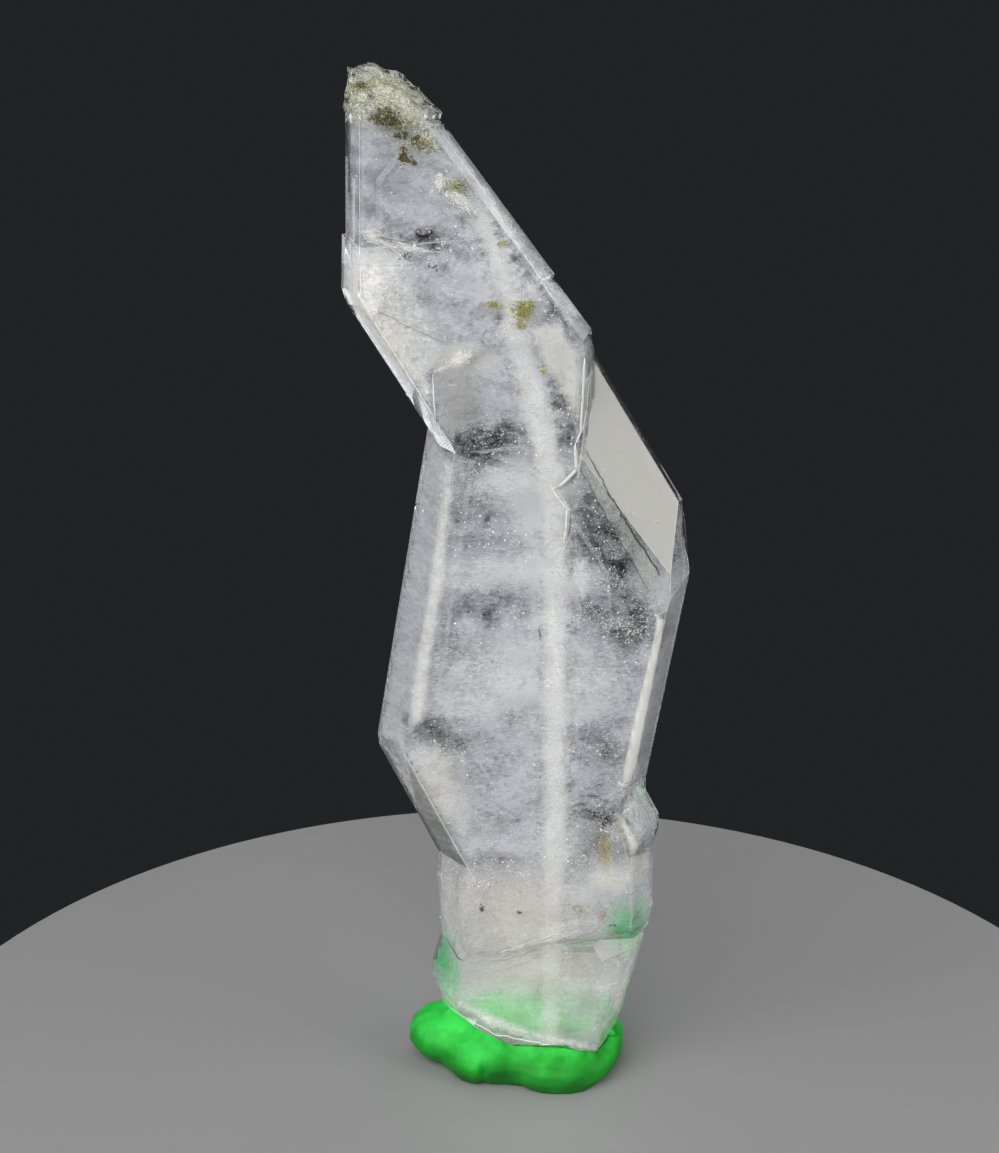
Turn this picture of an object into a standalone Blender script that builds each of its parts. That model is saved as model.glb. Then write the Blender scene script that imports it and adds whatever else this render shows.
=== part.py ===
"""A faden quartz crystal about 69 mm tall, standing upright in a pinched lump of green putty.

The crystal is one solid: several flat quartz crystals that grew into each other along one
white thread. Each of them is cut out of a block by its own faces, as a crystal is bounded by
planes, and then they are joined. The thread is a solid of its own, sealed in a channel that
runs up through the crystal from its broken foot. The putty has a pocket for the foot.

Units: outlines, depths and leans are in millimetres and become metres where a mesh is made.
Frame: +X to the right and -Y to the viewer, broad face first, +Z up, z = 0 under the putty.
"""

import math

import bmesh
import bpy
from mathutils import Euler, Matrix, Vector, noise

MM = 0.001

# Driving dimensions of the crystal, in millimetres.
FRONT = -3.1          # broad front face of the middle crystal
BACK = 3.0            # its broad back face
PRISM_LEAN = 0.58     # how far a side face draws in for each mm of depth, tan 30 for a prism
STEEP_LEAN = 0.45     # the same for the steeper end faces
SHALLOW_LEAN = 1.48   # the wide slanting end face at the upper right
CLEARANCE = 0.3       # gap between the crystal's foot and the putty around it
QUARTZ_IOR = 1.544
BLOCK = 200.0         # the block that each crystal is cut from
SMALLEST_EDGE = 0.01  # shorter edges of a cut crystal are closed up

# The putty's pinched lobes in millimetres: the middle of each, then its reach along X, Y and Z.
PUTTY_HEART = (0.3, 0.3, 1.5)
PUTTY_LOBES = [
    ((0.6, 0.2, 1.3), (6.3, 4.2, 2.5)),
    ((-4.9, 0.9, 1.9), (3.0, 3.1, 2.2)),
    ((-2.3, -1.7, 1.6), (2.8, 2.3, 1.9)),
    ((3.2, -2.4, 1.1), (3.5, 2.7, 1.8)),
    ((5.7, 0.5, 1.8), (2.3, 3.0, 2.3)),
    ((-0.6, 3.0, 2.2), (4.7, 2.3, 2.6)),
]
LOBE_BLEND = 16.0     # higher leaves sharper creases between the lobes

# Each crystal's outline goes clockwise as seen from the front, at the depth of its ridge.
# A row of sides is x, z, then the lean to the front and to the back of the side that starts
# there. The broad front and back are a depth, with its slope along X and Z from the point
# named about. Further front faces are a line from one point to the next at a depth, and a lean.
UPPER = {
    "ridge": -1.45,
    "front": (-3.42, -0.03, -0.03),
    "back": (0.7, 0.02, 0.01),
    "about": (-2.0, 60.0),
    "sides": [
        (-10.62, 66.6, 0.4, 0.5),
        (-8.6, 68.3, 0.4, 0.5),
        (-5.15, 66.45, 0.4, STEEP_LEAN),
        (2.3, 56.55, 0.4, 0.8),
        (1.2, 54.2, 0.4, 0.8),
        (-8.4, 54.2, 0.4, 0.8),
        (-10.82, 57.0, 0.62, PRISM_LEAN),
    ],
}
LOWER = {
    "ridge": -1.5,
    "front": (-3.62, 0.0, 0.028),
    "back": (0.95, -0.01, -0.012),
    "about": (-3.0, 52.0),
    "sides": [
        (-11.0, 59.05, 0.5, 0.9),
        (-1.5, 60.0, 0.34, 0.6),
        (-0.55, 60.0, 0.36, STEEP_LEAN),
        (4.62, 53.15, 0.3, PRISM_LEAN),
        (4.85, 51.7, 0.26, PRISM_LEAN),
        (4.65, 46.4, 0.26, PRISM_LEAN),
        (4.3, 43.6, 0.25, 0.7),
        (2.45, 42.4, 0.4, 0.7),
        (-4.6, 44.9, STEEP_LEAN, 0.6),
        (-10.8, 54.7, 0.5, 0.55),
        (-11.12, 55.8, PRISM_LEAN, PRISM_LEAN),
    ],
    "faces": [
        ((2.3, 42.6), (-4.6, 45.2), FRONT, 1.6),
    ],
}
MIDDLE = {
    "ridge": 0.15,
    "front": (FRONT, 0.0, 0.0),
    "back": (BACK, 0.008, -0.006),
    "about": (1.0, 34.0),
    "sides": [
        (-5.2, 50.2, STEEP_LEAN, 0.5),
        (-2.3, 53.4, STEEP_LEAN, 0.62),
        (3.6, 53.45, 0.5, 0.62),
        (10.9, 41.6, PRISM_LEAN, PRISM_LEAN),
        (11.5, 36.6, 0.47, 0.7),
        (8.8, 21.3, 0.6, 0.6),
        (6.6, 14.2, 0.7, 0.7),
        (-3.8, 13.2, 0.6, 0.52),
        (-9.42, 24.4, 0.6, 0.5),
        (-9.5, 25.2, PRISM_LEAN, 0.66),
    ],
    "faces": [
        ((4.75, 51.35), (10.85, 41.45), -0.3, SHALLOW_LEAN),
        ((3.9, 44.5), (7.7, 37.6), FRONT, 2.3),
        ((9.4, 34.7), (7.0, 22.6), FRONT, 1.5),
    ],
}
CORNER = {
    "ridge": -0.8,
    "front": (-2.95, 0.02, 0.0),
    "back": (1.6, 0.0, 0.0),
    "about": (8.0, 19.0),
    "sides": [
        (7.0, 22.5, 0.6, 0.6),
        (8.85, 21.45, 0.62, 0.5),
        (9.78, 19.7, PRISM_LEAN, 0.5),
        (9.78, 18.6, 0.62, 0.5),
        (9.3, 17.05, 0.7, 0.5),
        (7.0, 14.5, 0.7, 0.5),
        (6.0, 18.0, 0.7, 0.5),
    ],
}
STEM = {
    "ridge": 0.1,
    "front": (-3.04, 0.006, -0.004),
    "back": (2.85, 0.0, 0.01),
    "about": (2.0, 14.0),
    "sides": [
        (-4.4, 21.0, 0.6, 0.5),
        (7.4, 21.5, 0.6, 0.5),
        (9.2, 18.6, 0.62, PRISM_LEAN),
        (9.55, 16.2, 0.6, PRISM_LEAN),
        (9.62, 12.3, 0.5, 0.6),
        (9.3, 10.8, 0.6, 0.6),
        (8.4, 9.6, 0.7, 0.6),
        (-4.8, 7.4, 0.7, 0.6),
        (-5.4, 9.9, 0.6, 0.6),
        (-5.6, 15.2, 0.62, 0.55),
    ],
}
FOOT = {
    "ridge": 0.0,
    "front": (-2.62, -0.015, 0.03),
    "back": (2.45, 0.0, -0.02),
    "about": (1.5, 7.0),
    "sides": [
        (-5.0, 11.3, 0.5, 0.5),
        (8.9, 11.9, 0.5, 0.5),
        (9.25, 11.2, 0.5, 0.55),
        (8.72, 8.7, 0.55, 0.6),
        (7.55, 4.1, 0.4, 0.5),
        (6.7, 1.9, 0.3, 0.4),
        (4.9, 1.1, 0.5, 0.2),
        (-0.6, 1.5, 0.5, 0.4),
        (-3.3, 2.9, 0.5, 0.45),
        (-5.2, 4.7, 0.5, 0.5),
        (-5.95, 6.9, 0.6, 0.55),
        (-5.95, 8.2, 0.6, 0.5),
    ],
    "faces": [
        ((4.9, 12.2), (9.4, 5.2), -2.0, 1.1),
        ((-7.2, 7.2), (-3.2, 11.4), -2.2, 1.3),
    ],
}
# Low growth plates that stand a few tenths of a millimetre proud of the broad faces.
FRONT_PLATE = {
    "ridge": -2.6,
    "front": (-3.4, 0.0, -0.056),
    "back": (0.0, 0.0, 0.0),
    "about": (0.0, 42.4),
    "sides": [
        (-3.6, 46.6, 0.3, 0.0),
        (2.0, 44.3, 0.3, 0.0),
        (3.5, 41.8, 0.3, 0.0),
        (3.35, 39.0, 0.8, 0.0),
        (1.0, 35.4, 2.6, 0.0),
        (-2.6, 36.2, 2.6, 0.0),
    ],
}
BACK_PLATE = {
    "ridge": 1.2,
    "front": (-1.0, 0.0, 0.0),
    "back": (3.42, -0.01, 0.008),
    "about": (0.5, 33.0),
    "sides": [
        (-4.0, 45.4, 0.0, 0.5),
        (1.4, 46.2, 0.0, 0.7),
        (7.2, 37.2, 0.0, 0.6),
        (7.6, 33.0, 0.0, 0.6),
        (5.8, 23.2, 0.0, 0.7),
        (-1.8, 19.4, 0.0, 0.5),
        (-6.6, 27.6, 0.0, 0.6),
    ],
}
BACK_RIB = {
    "ridge": -0.6,
    "front": (-1.6, 0.0, 0.0),
    "back": (1.35, 0.02, 0.0),
    "about": (-6.0, 58.0),
    "sides": [
        (-9.4, 62.6, 0.0, 0.5),
        (-7.4, 65.0, 0.0, 0.6),
        (-4.6, 62.2, 0.0, 0.5),
        (1.4, 53.4, 0.0, 0.5),
        (-3.6, 49.6, 0.0, 0.6),
        (-9.6, 56.4, 0.0, 0.5),
    ],
}
BACK_STEP = {
    "ridge": 1.0,
    "front": (-1.0, 0.0, 0.0),
    "back": (3.1, 0.02, 0.012),
    "about": (2.0, 14.0),
    "sides": [
        (-2.6, 19.6, 0.0, 0.5),
        (3.0, 20.6, 0.0, 0.5),
        (8.0, 15.6, 0.0, 0.6),
        (7.6, 10.4, 0.0, 0.6),
        (1.6, 7.4, 0.0, 0.5),
        (-3.6, 11.6, 0.0, 0.6),
    ],
}
# The broken end at the top, whose surface is roughened before it is joined on.
TIP = {
    "ridge": -1.4,
    "front": (-3.22, 0.02, 0.02),
    "back": (0.45, 0.0, -0.04),
    "about": (-8.0, 67.0),
    "sides": [
        (-10.5, 69.1, 0.3, 0.3),
        (-8.75, 69.35, 0.45, 0.45),
        (-7.5, 68.75, 0.5, 0.5),
        (-6.1, 67.85, 0.5, 0.5),
        (-4.8, 66.35, 0.5, 0.5),
        (-5.2, 64.2, 0.5, 0.5),
        (-9.6, 64.0, 0.5, 0.5),
        (-10.75, 66.0, 0.5, 0.5),
    ],
}
# Small chips that were knocked out of the edges: x, y, z and radius, in millimetres.
CHIPS = [
    (-6.1, -1.5, 68.15, 0.42),
    (-2.2, -1.5, 63.1, 0.34),
    (-10.98, -1.2, 61.4, 0.3),
    (2.5, -2.0, 56.5, 0.36),
    (-10.3, -1.0, 54.0, 0.28),
    (4.7, -3.4, 49.2, 0.26),
    (11.35, 0.3, 39.4, 0.26),
    (10.15, 0.2, 27.7, 0.34),
    (-8.7, 0.6, 28.9, 0.3),
    (-7.2, 0.2, 19.6, 0.34),
    (-5.7, 0.0, 12.6, 0.36),
    (9.8, 0.4, 14.1, 0.3),
    (-4.6, 2.6, 40.2, 0.32),
    (6.8, 3.2, 29.0, 0.3),
]
# The white thread's middle line from its foot up: x, y and z in millimetres.
THREAD_LINE = [
    (2.45, 0.0, 1.9),
    (2.5, 0.0, 10.0),
    (2.6, 0.0, 20.3),
    (2.5, 0.0, 30.0),
    (2.5, -0.05, 36.5),
    (2.3, -0.4, 42.0),
    (1.5, -1.0, 46.8),
    (0.1, -1.35, 52.2),
    (-0.9, -1.4, 56.4),
    (-2.3, -1.4, 60.2),
]
THREAD_HALF_WIDTH = 0.7
THREAD_HALF_DEPTH = 0.55
THREAD_SIDES = 10
THREAD_RINGS_PER_SPAN = 4
THREAD_TAPER = 0.12   # the share of its length over which the top end narrows
THREAD_TOP = 0.45     # its width at the very top, against its full width
THREAD_WAVER = 0.14   # how unevenly wide it is
CHANNEL_REACH = 2.5   # how far the thread's channel runs on through the broken foot


def add_object(name, bm):
    """An object that holds this mesh, at the origin."""
    mesh = bpy.data.meshes.new(name)
    bm.to_mesh(mesh)
    bm.free()
    obj = bpy.data.objects.new(name, mesh)
    bpy.context.scene.collection.objects.link(obj)
    return obj


def as_helper(obj):
    """Leaves the object out of the build, which only uses it in a Boolean."""
    obj.hide_render = True
    obj.display_type = "WIRE"
    return obj


def side_planes(crystal):
    """Point and outward normal of the front and back face on every side of the outline."""
    planes = []
    sides = crystal["sides"]
    for number, (x, z, front_lean, back_lean) in enumerate(sides):
        next_x, next_z = sides[(number + 1) % len(sides)][:2]
        point = Vector((x, crystal["ridge"], z))
        across = Vector((z - next_z, 0.0, next_x - x)).normalized()
        planes.append((point, across + Vector((0.0, -front_lean, 0.0))))
        planes.append((point, across + Vector((0.0, back_lean, 0.0))))
    return planes


def broad_planes(crystal):
    """The broad front and back face, each given by its depth and its slope along X and Z."""
    about_x, about_z = crystal["about"]
    depth, slope_x, slope_z = crystal["front"]
    front = (Vector((about_x, depth, about_z)), Vector((slope_x, -1.0, slope_z)))
    depth, slope_x, slope_z = crystal["back"]
    back = (Vector((about_x, depth, about_z)), Vector((-slope_x, 1.0, -slope_z)))
    return [front, back]


def further_planes(crystal):
    """Front faces that pass through a line at a depth and lean back from it."""
    planes = []
    for (x, z), (end_x, end_z), depth, lean in crystal.get("faces", []):
        across = Vector((z - end_z, 0.0, end_x - x)).normalized()
        planes.append((Vector((x, depth, z)), across + Vector((0.0, -lean, 0.0))))
    return planes


def cut_crystal(name, crystal, grow=0.0):
    """A convex crystal: a block cut by each of its planes, which grow moves outwards."""
    bm = bmesh.new()
    bmesh.ops.create_cube(bm, size=BLOCK)
    planes = broad_planes(crystal) + side_planes(crystal) + further_planes(crystal)
    for point, normal in planes:
        normal = normal.normalized()
        cut = bmesh.ops.bisect_plane(
            bm,
            geom=bm.verts[:] + bm.edges[:] + bm.faces[:],
            dist=1e-5,
            plane_co=point + normal * grow,
            plane_no=normal,
            clear_outer=True,
        )
        rim = [item for item in cut["geom_cut"] if isinstance(item, bmesh.types.BMEdge)]
        if rim:
            bmesh.ops.contextual_create(bm, geom=rim)
    bmesh.ops.remove_doubles(bm, verts=bm.verts[:], dist=SMALLEST_EDGE)
    bmesh.ops.dissolve_degenerate(bm, edges=bm.edges[:], dist=SMALLEST_EDGE)
    bmesh.ops.recalc_face_normals(bm, faces=bm.faces[:])
    bmesh.ops.scale(bm, vec=(MM, MM, MM), verts=bm.verts[:])
    return add_object(name, bm)


def break_surface(obj, edge, depth, grain, seed):
    """Splits the faces down to an edge length and roughens them, all sizes in millimetres."""
    bm = bmesh.new()
    bm.from_mesh(obj.data)
    bmesh.ops.triangulate(bm, faces=bm.faces[:])
    for _ in range(5):
        long_edges = [e for e in bm.edges if e.calc_length() > edge * MM]
        bmesh.ops.subdivide_edges(bm, edges=long_edges, cuts=1)
        bmesh.ops.triangulate(bm, faces=bm.faces[:])
    bm.normal_update()
    moves = []
    for vert in bm.verts:
        place = vert.co / (grain * MM) + Vector((seed, 0.0, 0.0))
        chip = noise.noise(place) + 0.5 * noise.noise(place * 2.3)
        moves.append(vert.normal * chip * depth * MM)
    for vert, move in zip(bm.verts, moves):
        vert.co += move
    bm.to_mesh(obj.data)
    bm.free()


def chip_cutter():
    """The chips as one cutter: angular little lumps, each turned its own way."""
    bm = bmesh.new()
    for number, (x, y, z, radius) in enumerate(CHIPS):
        turn = Euler((0.7 * number, 1.1 * number, 0.4 * number)).to_matrix().to_4x4()
        place = Matrix.Translation((x * MM, y * MM, z * MM)) @ turn
        shape = place @ Matrix.Diagonal((1.5, 0.8, 1.0, 1.0))
        bmesh.ops.create_icosphere(bm, subdivisions=1, radius=radius * MM, matrix=shape)
    return add_object("chips", bm)


def on_curve(points, number, share):
    """A point of the smooth curve through these points, a share of the way along one span."""
    before = points[max(0, number - 1)]
    start, end = points[number], points[number + 1]
    after = points[min(len(points) - 1, number + 2)]
    bend = 2.0 * before - 5.0 * start + 4.0 * end - after
    curl = 3.0 * start - before - 3.0 * end + after
    return start + 0.5 * share * ((end - before) + share * (bend + share * curl))


def thread_body(name, grow, longer):
    """The thread as a tube of oval rings, grown and made longer at its foot by these sizes."""
    line = [Vector(point) for point in THREAD_LINE]
    middles = [line[0] - Vector((0.0, 0.0, longer))] if longer else []
    for number in range(len(line) - 1):
        for part in range(THREAD_RINGS_PER_SPAN):
            middles.append(on_curve(line, number, part / THREAD_RINGS_PER_SPAN))
    middles.append(line[-1] + Vector((-0.5, 0.0, 0.87)) * grow)
    bm = bmesh.new()
    rings = []
    for number, middle in enumerate(middles):
        left = len(middles) - 1 - number
        taper = min(1.0, THREAD_TOP + (1.0 - THREAD_TOP) * left / (THREAD_TAPER * len(middles)))
        swell = taper * (1.0 + THREAD_WAVER * noise.noise(middle * 0.7))
        ahead = middles[min(number + 1, len(middles) - 1)] - middles[max(number - 1, 0)]
        across = Vector((0.0, 1.0, 0.0)).cross(ahead).normalized()
        inward = ahead.cross(across).normalized()
        ring = []
        for side in range(THREAD_SIDES):
            angle = math.tau * side / THREAD_SIDES
            reach = across * math.cos(angle) * (THREAD_HALF_WIDTH * swell + grow)
            reach += inward * math.sin(angle) * (THREAD_HALF_DEPTH * swell + grow)
            ring.append(bm.verts.new((middle + reach) * MM))
        rings.append(ring)
    for lower, upper in zip(rings, rings[1:]):
        for side in range(THREAD_SIDES):
            after = (side + 1) % THREAD_SIDES
            bm.faces.new((lower[side], lower[after], upper[after], upper[side]))
    bm.faces.new(rings[0])
    bm.faces.new(rings[-1])
    bmesh.ops.recalc_face_normals(bm, faces=bm.faces[:])
    return add_object(name, bm)


def boolean(obj, other, operation):
    """An exact Boolean of the object with a helper, which is left out of the build."""
    modifier = obj.modifiers.new(operation.lower() + " " + other.name, "BOOLEAN")
    modifier.operation = operation
    modifier.solver = "EXACT"
    modifier.object = as_helper(other)


def plain_material(name, colour, roughness, transmission=0.0, ior=1.45):
    material = bpy.data.materials.new(name)
    material.use_nodes = True
    shader = material.node_tree.nodes["Principled BSDF"]
    shader.inputs["Base Color"].default_value = (*colour, 1.0)
    shader.inputs["Roughness"].default_value = roughness
    shader.inputs["Metallic"].default_value = 0.0
    shader.inputs["Transmission Weight"].default_value = transmission
    shader.inputs["IOR"].default_value = ior
    return material


def build_crystal():
    """The whole crystal, with its broken tip and its foot, as one solid."""
    crystal = cut_crystal("faden_quartz_crystal", MIDDLE)
    grown_on = {
        "stem": STEM,
        "foot": FOOT,
        "corner": CORNER,
        "lower_plate": LOWER,
        "upper_plate": UPPER,
        "front_plate": FRONT_PLATE,
        "back_plate": BACK_PLATE,
        "back_rib": BACK_RIB,
        "back_step": BACK_STEP,
    }
    for name, shape in grown_on.items():
        boolean(crystal, cut_crystal(name, shape), "UNION")
    tip = cut_crystal("broken_tip", TIP)
    break_surface(tip, edge=0.6, depth=0.28, grain=1.0, seed=4.0)
    boolean(crystal, tip, "UNION")
    boolean(crystal, chip_cutter(), "DIFFERENCE")
    boolean(crystal, thread_body("channel", CLEARANCE, CHANNEL_REACH), "DIFFERENCE")
    crystal.data.materials.append(
        plain_material("quartz", (0.86, 0.88, 0.88), 0.03, transmission=0.9, ior=QUARTZ_IOR)
    )
    return crystal


def build_thread():
    """The milky white thread inside the crystal, in a channel that is open at the broken foot."""
    thread = thread_body("faden_thread", grow=0.0, longer=0.0)
    thread.data.shade_smooth()
    thread.data.materials.append(plain_material("thread", (0.9, 0.9, 0.87), 0.7))
    return thread


def lobe_reach(direction, middle, size):
    """How far a ray from the putty's heart runs before it leaves this lobe, in millimetres."""
    ray = Vector([direction[i] / size[i] for i in range(3)])
    start = Vector([(PUTTY_HEART[i] - middle[i]) / size[i] for i in range(3)])
    half_b = ray.dot(start)
    inside = half_b ** 2 - ray.length_squared * (start.length_squared - 1.0)
    if inside <= 0.0:
        return 0.0
    return max(0.0, (math.sqrt(inside) - half_b) / ray.length_squared)


def putty_point(direction):
    """Moves a point of a unit ball onto the lump: the lobes together, dented by fingers."""
    reaches = [lobe_reach(direction, middle, size) for middle, size in PUTTY_LOBES]
    reach = sum(r ** LOBE_BLEND for r in reaches) ** (1.0 / LOBE_BLEND)
    point = Vector(PUTTY_HEART) + direction * reach
    point += direction * 0.45 * noise.noise(point * 0.45 + Vector((3.1, 0.0, 7.0)))
    point.z = max(0.0, point.z)
    return point


def build_putty():
    """The lump of putty, flat underneath, with a pocket that clears the crystal's foot."""
    bm = bmesh.new()
    bmesh.ops.create_icosphere(bm, subdivisions=4, radius=1.0)
    for vert in bm.verts:
        vert.co = putty_point(vert.co.normalized()) * MM
    bmesh.ops.recalc_face_normals(bm, faces=bm.faces[:])
    putty = add_object("green_putty", bm)
    putty.data.shade_smooth()
    boolean(putty, cut_crystal("pocket", FOOT, grow=CLEARANCE), "DIFFERENCE")
    putty.data.materials.append(plain_material("putty", (0.02, 0.55, 0.06), 0.6))
    return putty


def main():
    for obj in list(bpy.data.objects):
        bpy.data.objects.remove(obj, do_unlink=True)
    build_crystal()
    build_thread()
    build_putty()


main()
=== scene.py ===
# %% [markdown]
# # A faden quartz crystal on its lump of green putty
#
# Faden quartz is a flat, clear crystal with a milky white thread down its middle. The thread marks
# a crack that opened again and again while the crystal grew, and each healing left tiny bubbles.
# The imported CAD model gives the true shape, in metres, standing on z = 0. This lesson keeps that
# shape and adds what makes it quartz: clear glassy faces, the thread, the clouds of fine fibres
# that cross the crystal from the thread, and the specks of green and brown mineral.

# %% The fixed frame
import math

import bmesh
import bpy
import numpy as np
from mathutils import Euler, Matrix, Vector, noise
from mathutils.bvhtree import BVHTree


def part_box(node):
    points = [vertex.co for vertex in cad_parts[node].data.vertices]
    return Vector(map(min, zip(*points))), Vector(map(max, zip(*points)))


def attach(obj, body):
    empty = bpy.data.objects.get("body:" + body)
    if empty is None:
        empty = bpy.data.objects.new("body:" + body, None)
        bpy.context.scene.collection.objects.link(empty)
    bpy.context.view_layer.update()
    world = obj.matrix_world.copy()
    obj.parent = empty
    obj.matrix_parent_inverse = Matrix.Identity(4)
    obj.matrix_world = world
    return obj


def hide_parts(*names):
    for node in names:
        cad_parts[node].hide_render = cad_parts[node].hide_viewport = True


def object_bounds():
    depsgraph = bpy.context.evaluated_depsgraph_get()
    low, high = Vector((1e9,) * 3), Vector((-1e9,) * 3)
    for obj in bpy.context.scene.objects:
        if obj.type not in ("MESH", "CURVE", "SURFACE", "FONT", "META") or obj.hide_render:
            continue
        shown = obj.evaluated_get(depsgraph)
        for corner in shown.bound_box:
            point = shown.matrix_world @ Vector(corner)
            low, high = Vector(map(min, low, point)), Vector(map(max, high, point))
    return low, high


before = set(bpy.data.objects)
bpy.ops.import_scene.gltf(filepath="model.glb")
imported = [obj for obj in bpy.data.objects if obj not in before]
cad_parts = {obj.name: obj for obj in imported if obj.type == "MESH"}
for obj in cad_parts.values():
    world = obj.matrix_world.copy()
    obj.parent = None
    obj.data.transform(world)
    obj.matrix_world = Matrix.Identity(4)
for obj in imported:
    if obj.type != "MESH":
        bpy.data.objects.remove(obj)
cad_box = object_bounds()
MM = 0.001
CRYSTAL, THREAD, PUTTY = "faden_quartz_crystal", "faden_thread", "green_putty"
size = (cad_box[1] - cad_box[0]) / MM
print("the model is %.1f x %.1f x %.1f mm" % tuple(size))

# %% [markdown]
# ## Camera
#
# The crystal was seen from the front and a little above. The camera aims at the middle of the
# picture from 120 mm away, which keeps the mild perspective of a close view. The focal length is
# worked out from the picture: 1800 pixels of its 1153 pixel height.

# %% Camera
PICTURE_HEIGHT, FOCAL_PIXELS, SENSOR = 1153, 1800, 36.0
AIM = Vector((-1.17, 0.0, 36.38)) * MM
ELEVATION, DISTANCE = math.radians(16.0), 120.0 * MM

camera_data = bpy.data.cameras.new("camera")
camera_data.sensor_fit = "AUTO"
camera_data.sensor_width = SENSOR
camera_data.lens = SENSOR * FOCAL_PIXELS / PICTURE_HEIGHT
camera_data.clip_start, camera_data.clip_end = 1 * MM, 10.0
camera = bpy.data.objects.new("camera", camera_data)
camera.location = AIM + DISTANCE * Vector((0, -math.cos(ELEVATION), math.sin(ELEVATION)))
camera.rotation_euler = Euler((math.pi / 2 - ELEVATION, 0, 0))
bpy.context.scene.collection.objects.link(camera)
bpy.context.scene.camera = camera
bpy.context.scene.view_settings.view_transform = "Standard"
print("lens %.1f mm, camera at" % camera_data.lens, tuple(round(c / MM, 1) for c in camera.location))

# %% [markdown]
# ## Helpers for materials
#
# A node material is a small recipe. `step` adds one node, gives it its settings and fills its
# sockets, either with a plain value or with the output of an earlier step.


# %% Helpers for materials
def step(tree, kind, inputs=None, **settings):
    """Adds a node to a tree. inputs maps a socket's name or number to a value or another socket."""
    node = tree.nodes.new(kind)
    for name, value in settings.items():
        setattr(node, name, value)
    for key, value in (inputs or {}).items():
        socket = node.inputs[key]
        if isinstance(value, bpy.types.NodeSocket):
            tree.links.new(value, socket)
        else:
            socket.default_value = value
    return node


def math_step(tree, operation, *values, clamp=False):
    """One Math node, as its output socket."""
    inputs = dict(enumerate(values))
    return step(tree, "ShaderNodeMath", inputs, operation=operation, use_clamp=clamp).outputs[0]


def new_material(name, **sockets):
    """A material with one Principled BSDF, whose sockets get these values. Returns both."""
    material = bpy.data.materials.new(name)
    material.use_nodes = True
    shader = material.node_tree.nodes["Principled BSDF"]
    for socket, value in sockets.items():
        shader.inputs[socket.replace("_", " ")].default_value = value
    return material, shader


def ramp(tree, factor, *stops, mode="LINEAR"):
    """A Color Ramp through (position, grey or colour) stops, as its colour output."""
    node = step(tree, "ShaderNodeValToRGB", {"Fac": factor})
    node.color_ramp.interpolation = mode
    elements = node.color_ramp.elements
    while len(elements) < len(stops):
        elements.new(0.5)
    for element, (position, value) in zip(elements, stops):
        element.position = position
        element.color = (value,) * 3 + (1,) if isinstance(value, float) else (*value, 1)
    return node.outputs["Color"]


# %% [markdown]
# ## Floor and soft light
#
# A plain pale table, dark quiet surroundings, and large soft lamps. A clear crystal shows mainly
# what stands round it: its broad faces stay dark against the dark room, and each tilted face
# that meets a lamp's reflection lights up. So the lamps are placed by the faces that should shine.

# %% Floor
TABLE_RADIUS, TABLE_THICKNESS = 46 * MM, 3 * MM


def add_mesh(name, bm):
    """A new object at the origin with this mesh, linked to the scene."""
    mesh = bpy.data.meshes.new(name)
    bm.to_mesh(mesh)
    bm.free()
    obj = bpy.data.objects.new(name, mesh)
    bpy.context.scene.collection.objects.link(obj)
    return obj


bm = bmesh.new()
bmesh.ops.create_cone(bm, cap_ends=True, segments=128, radius1=TABLE_RADIUS, radius2=TABLE_RADIUS,
                      depth=TABLE_THICKNESS)
bmesh.ops.translate(bm, verts=bm.verts, vec=(0, 0, -TABLE_THICKNESS / 2))
bmesh.ops.bevel(bm, geom=[e for e in bm.edges if len(e.link_faces) == 2
                          and e.calc_face_angle() > 1], offset=0.6 * MM, segments=4,
                affect="EDGES")
table = add_mesh("table", bm)
pale, shader = new_material("pale_table", Base_Color=(0.42, 0.42, 0.43, 1), Roughness=0.55)
table.data.materials.append(pale)
print("table", round(2 * TABLE_RADIUS / MM), "mm across")

# %% Lamps
MIDDLE = Vector((0, 0, 36)) * MM
# name: direction to the lamp, distance mm, width mm, height mm, brightness, colour
LAMPS = {
    "key": ((-0.45, -0.7, 0.55), 300, 400, 400, 2.15, (1.0, 0.99, 0.97)),
    "right": ((0.868, -0.417, 0.286), 230, 140, 140, 2.4, (1.0, 0.99, 0.94)),
    "top": ((0.05, 0.1, 1.0), 240, 160, 160, 0.8, (1.0, 1.0, 1.0)),
    "back_left": ((-0.8, 0.62, 0.25), 260, 60, 200, 1.3, (0.92, 0.96, 1.0)),
    "back_right": ((0.75, 0.7, 0.3), 260, 60, 200, 1.3, (0.95, 0.97, 1.0)),
}
for name, (direction, distance, width, height, brightness, colour) in LAMPS.items():
    lamp_data = bpy.data.lights.new("lamp_" + name, "AREA")
    lamp_data.shape = "RECTANGLE"
    lamp_data.size, lamp_data.size_y = width * MM, height * MM
    lamp_data.color = colour
    lamp_data.energy = brightness * math.pi * width * height * MM * MM
    lamp = bpy.data.objects.new("lamp_" + name, lamp_data)
    toward = Vector(direction).normalized()
    lamp.location = MIDDLE + toward * distance * MM
    lamp.rotation_euler = (-toward).to_track_quat("-Z", "Y").to_euler()
    bpy.context.scene.collection.objects.link(lamp)

world = bpy.data.worlds.new("dark_room")
world.use_nodes = True
world.node_tree.nodes["Background"].inputs["Color"].default_value = (0.016, 0.0165, 0.018, 1)
bpy.context.scene.world = world
print(len(LAMPS), "lamps")

# %% [markdown]
# ## The thread's line
#
# The thread is the line that the whole crystal grew out from. It runs up the middle crystal and
# then forward and to the left through the upper plates. The clouds cross it squarely, so the same
# line also tells which way each fine fibre points.

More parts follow.
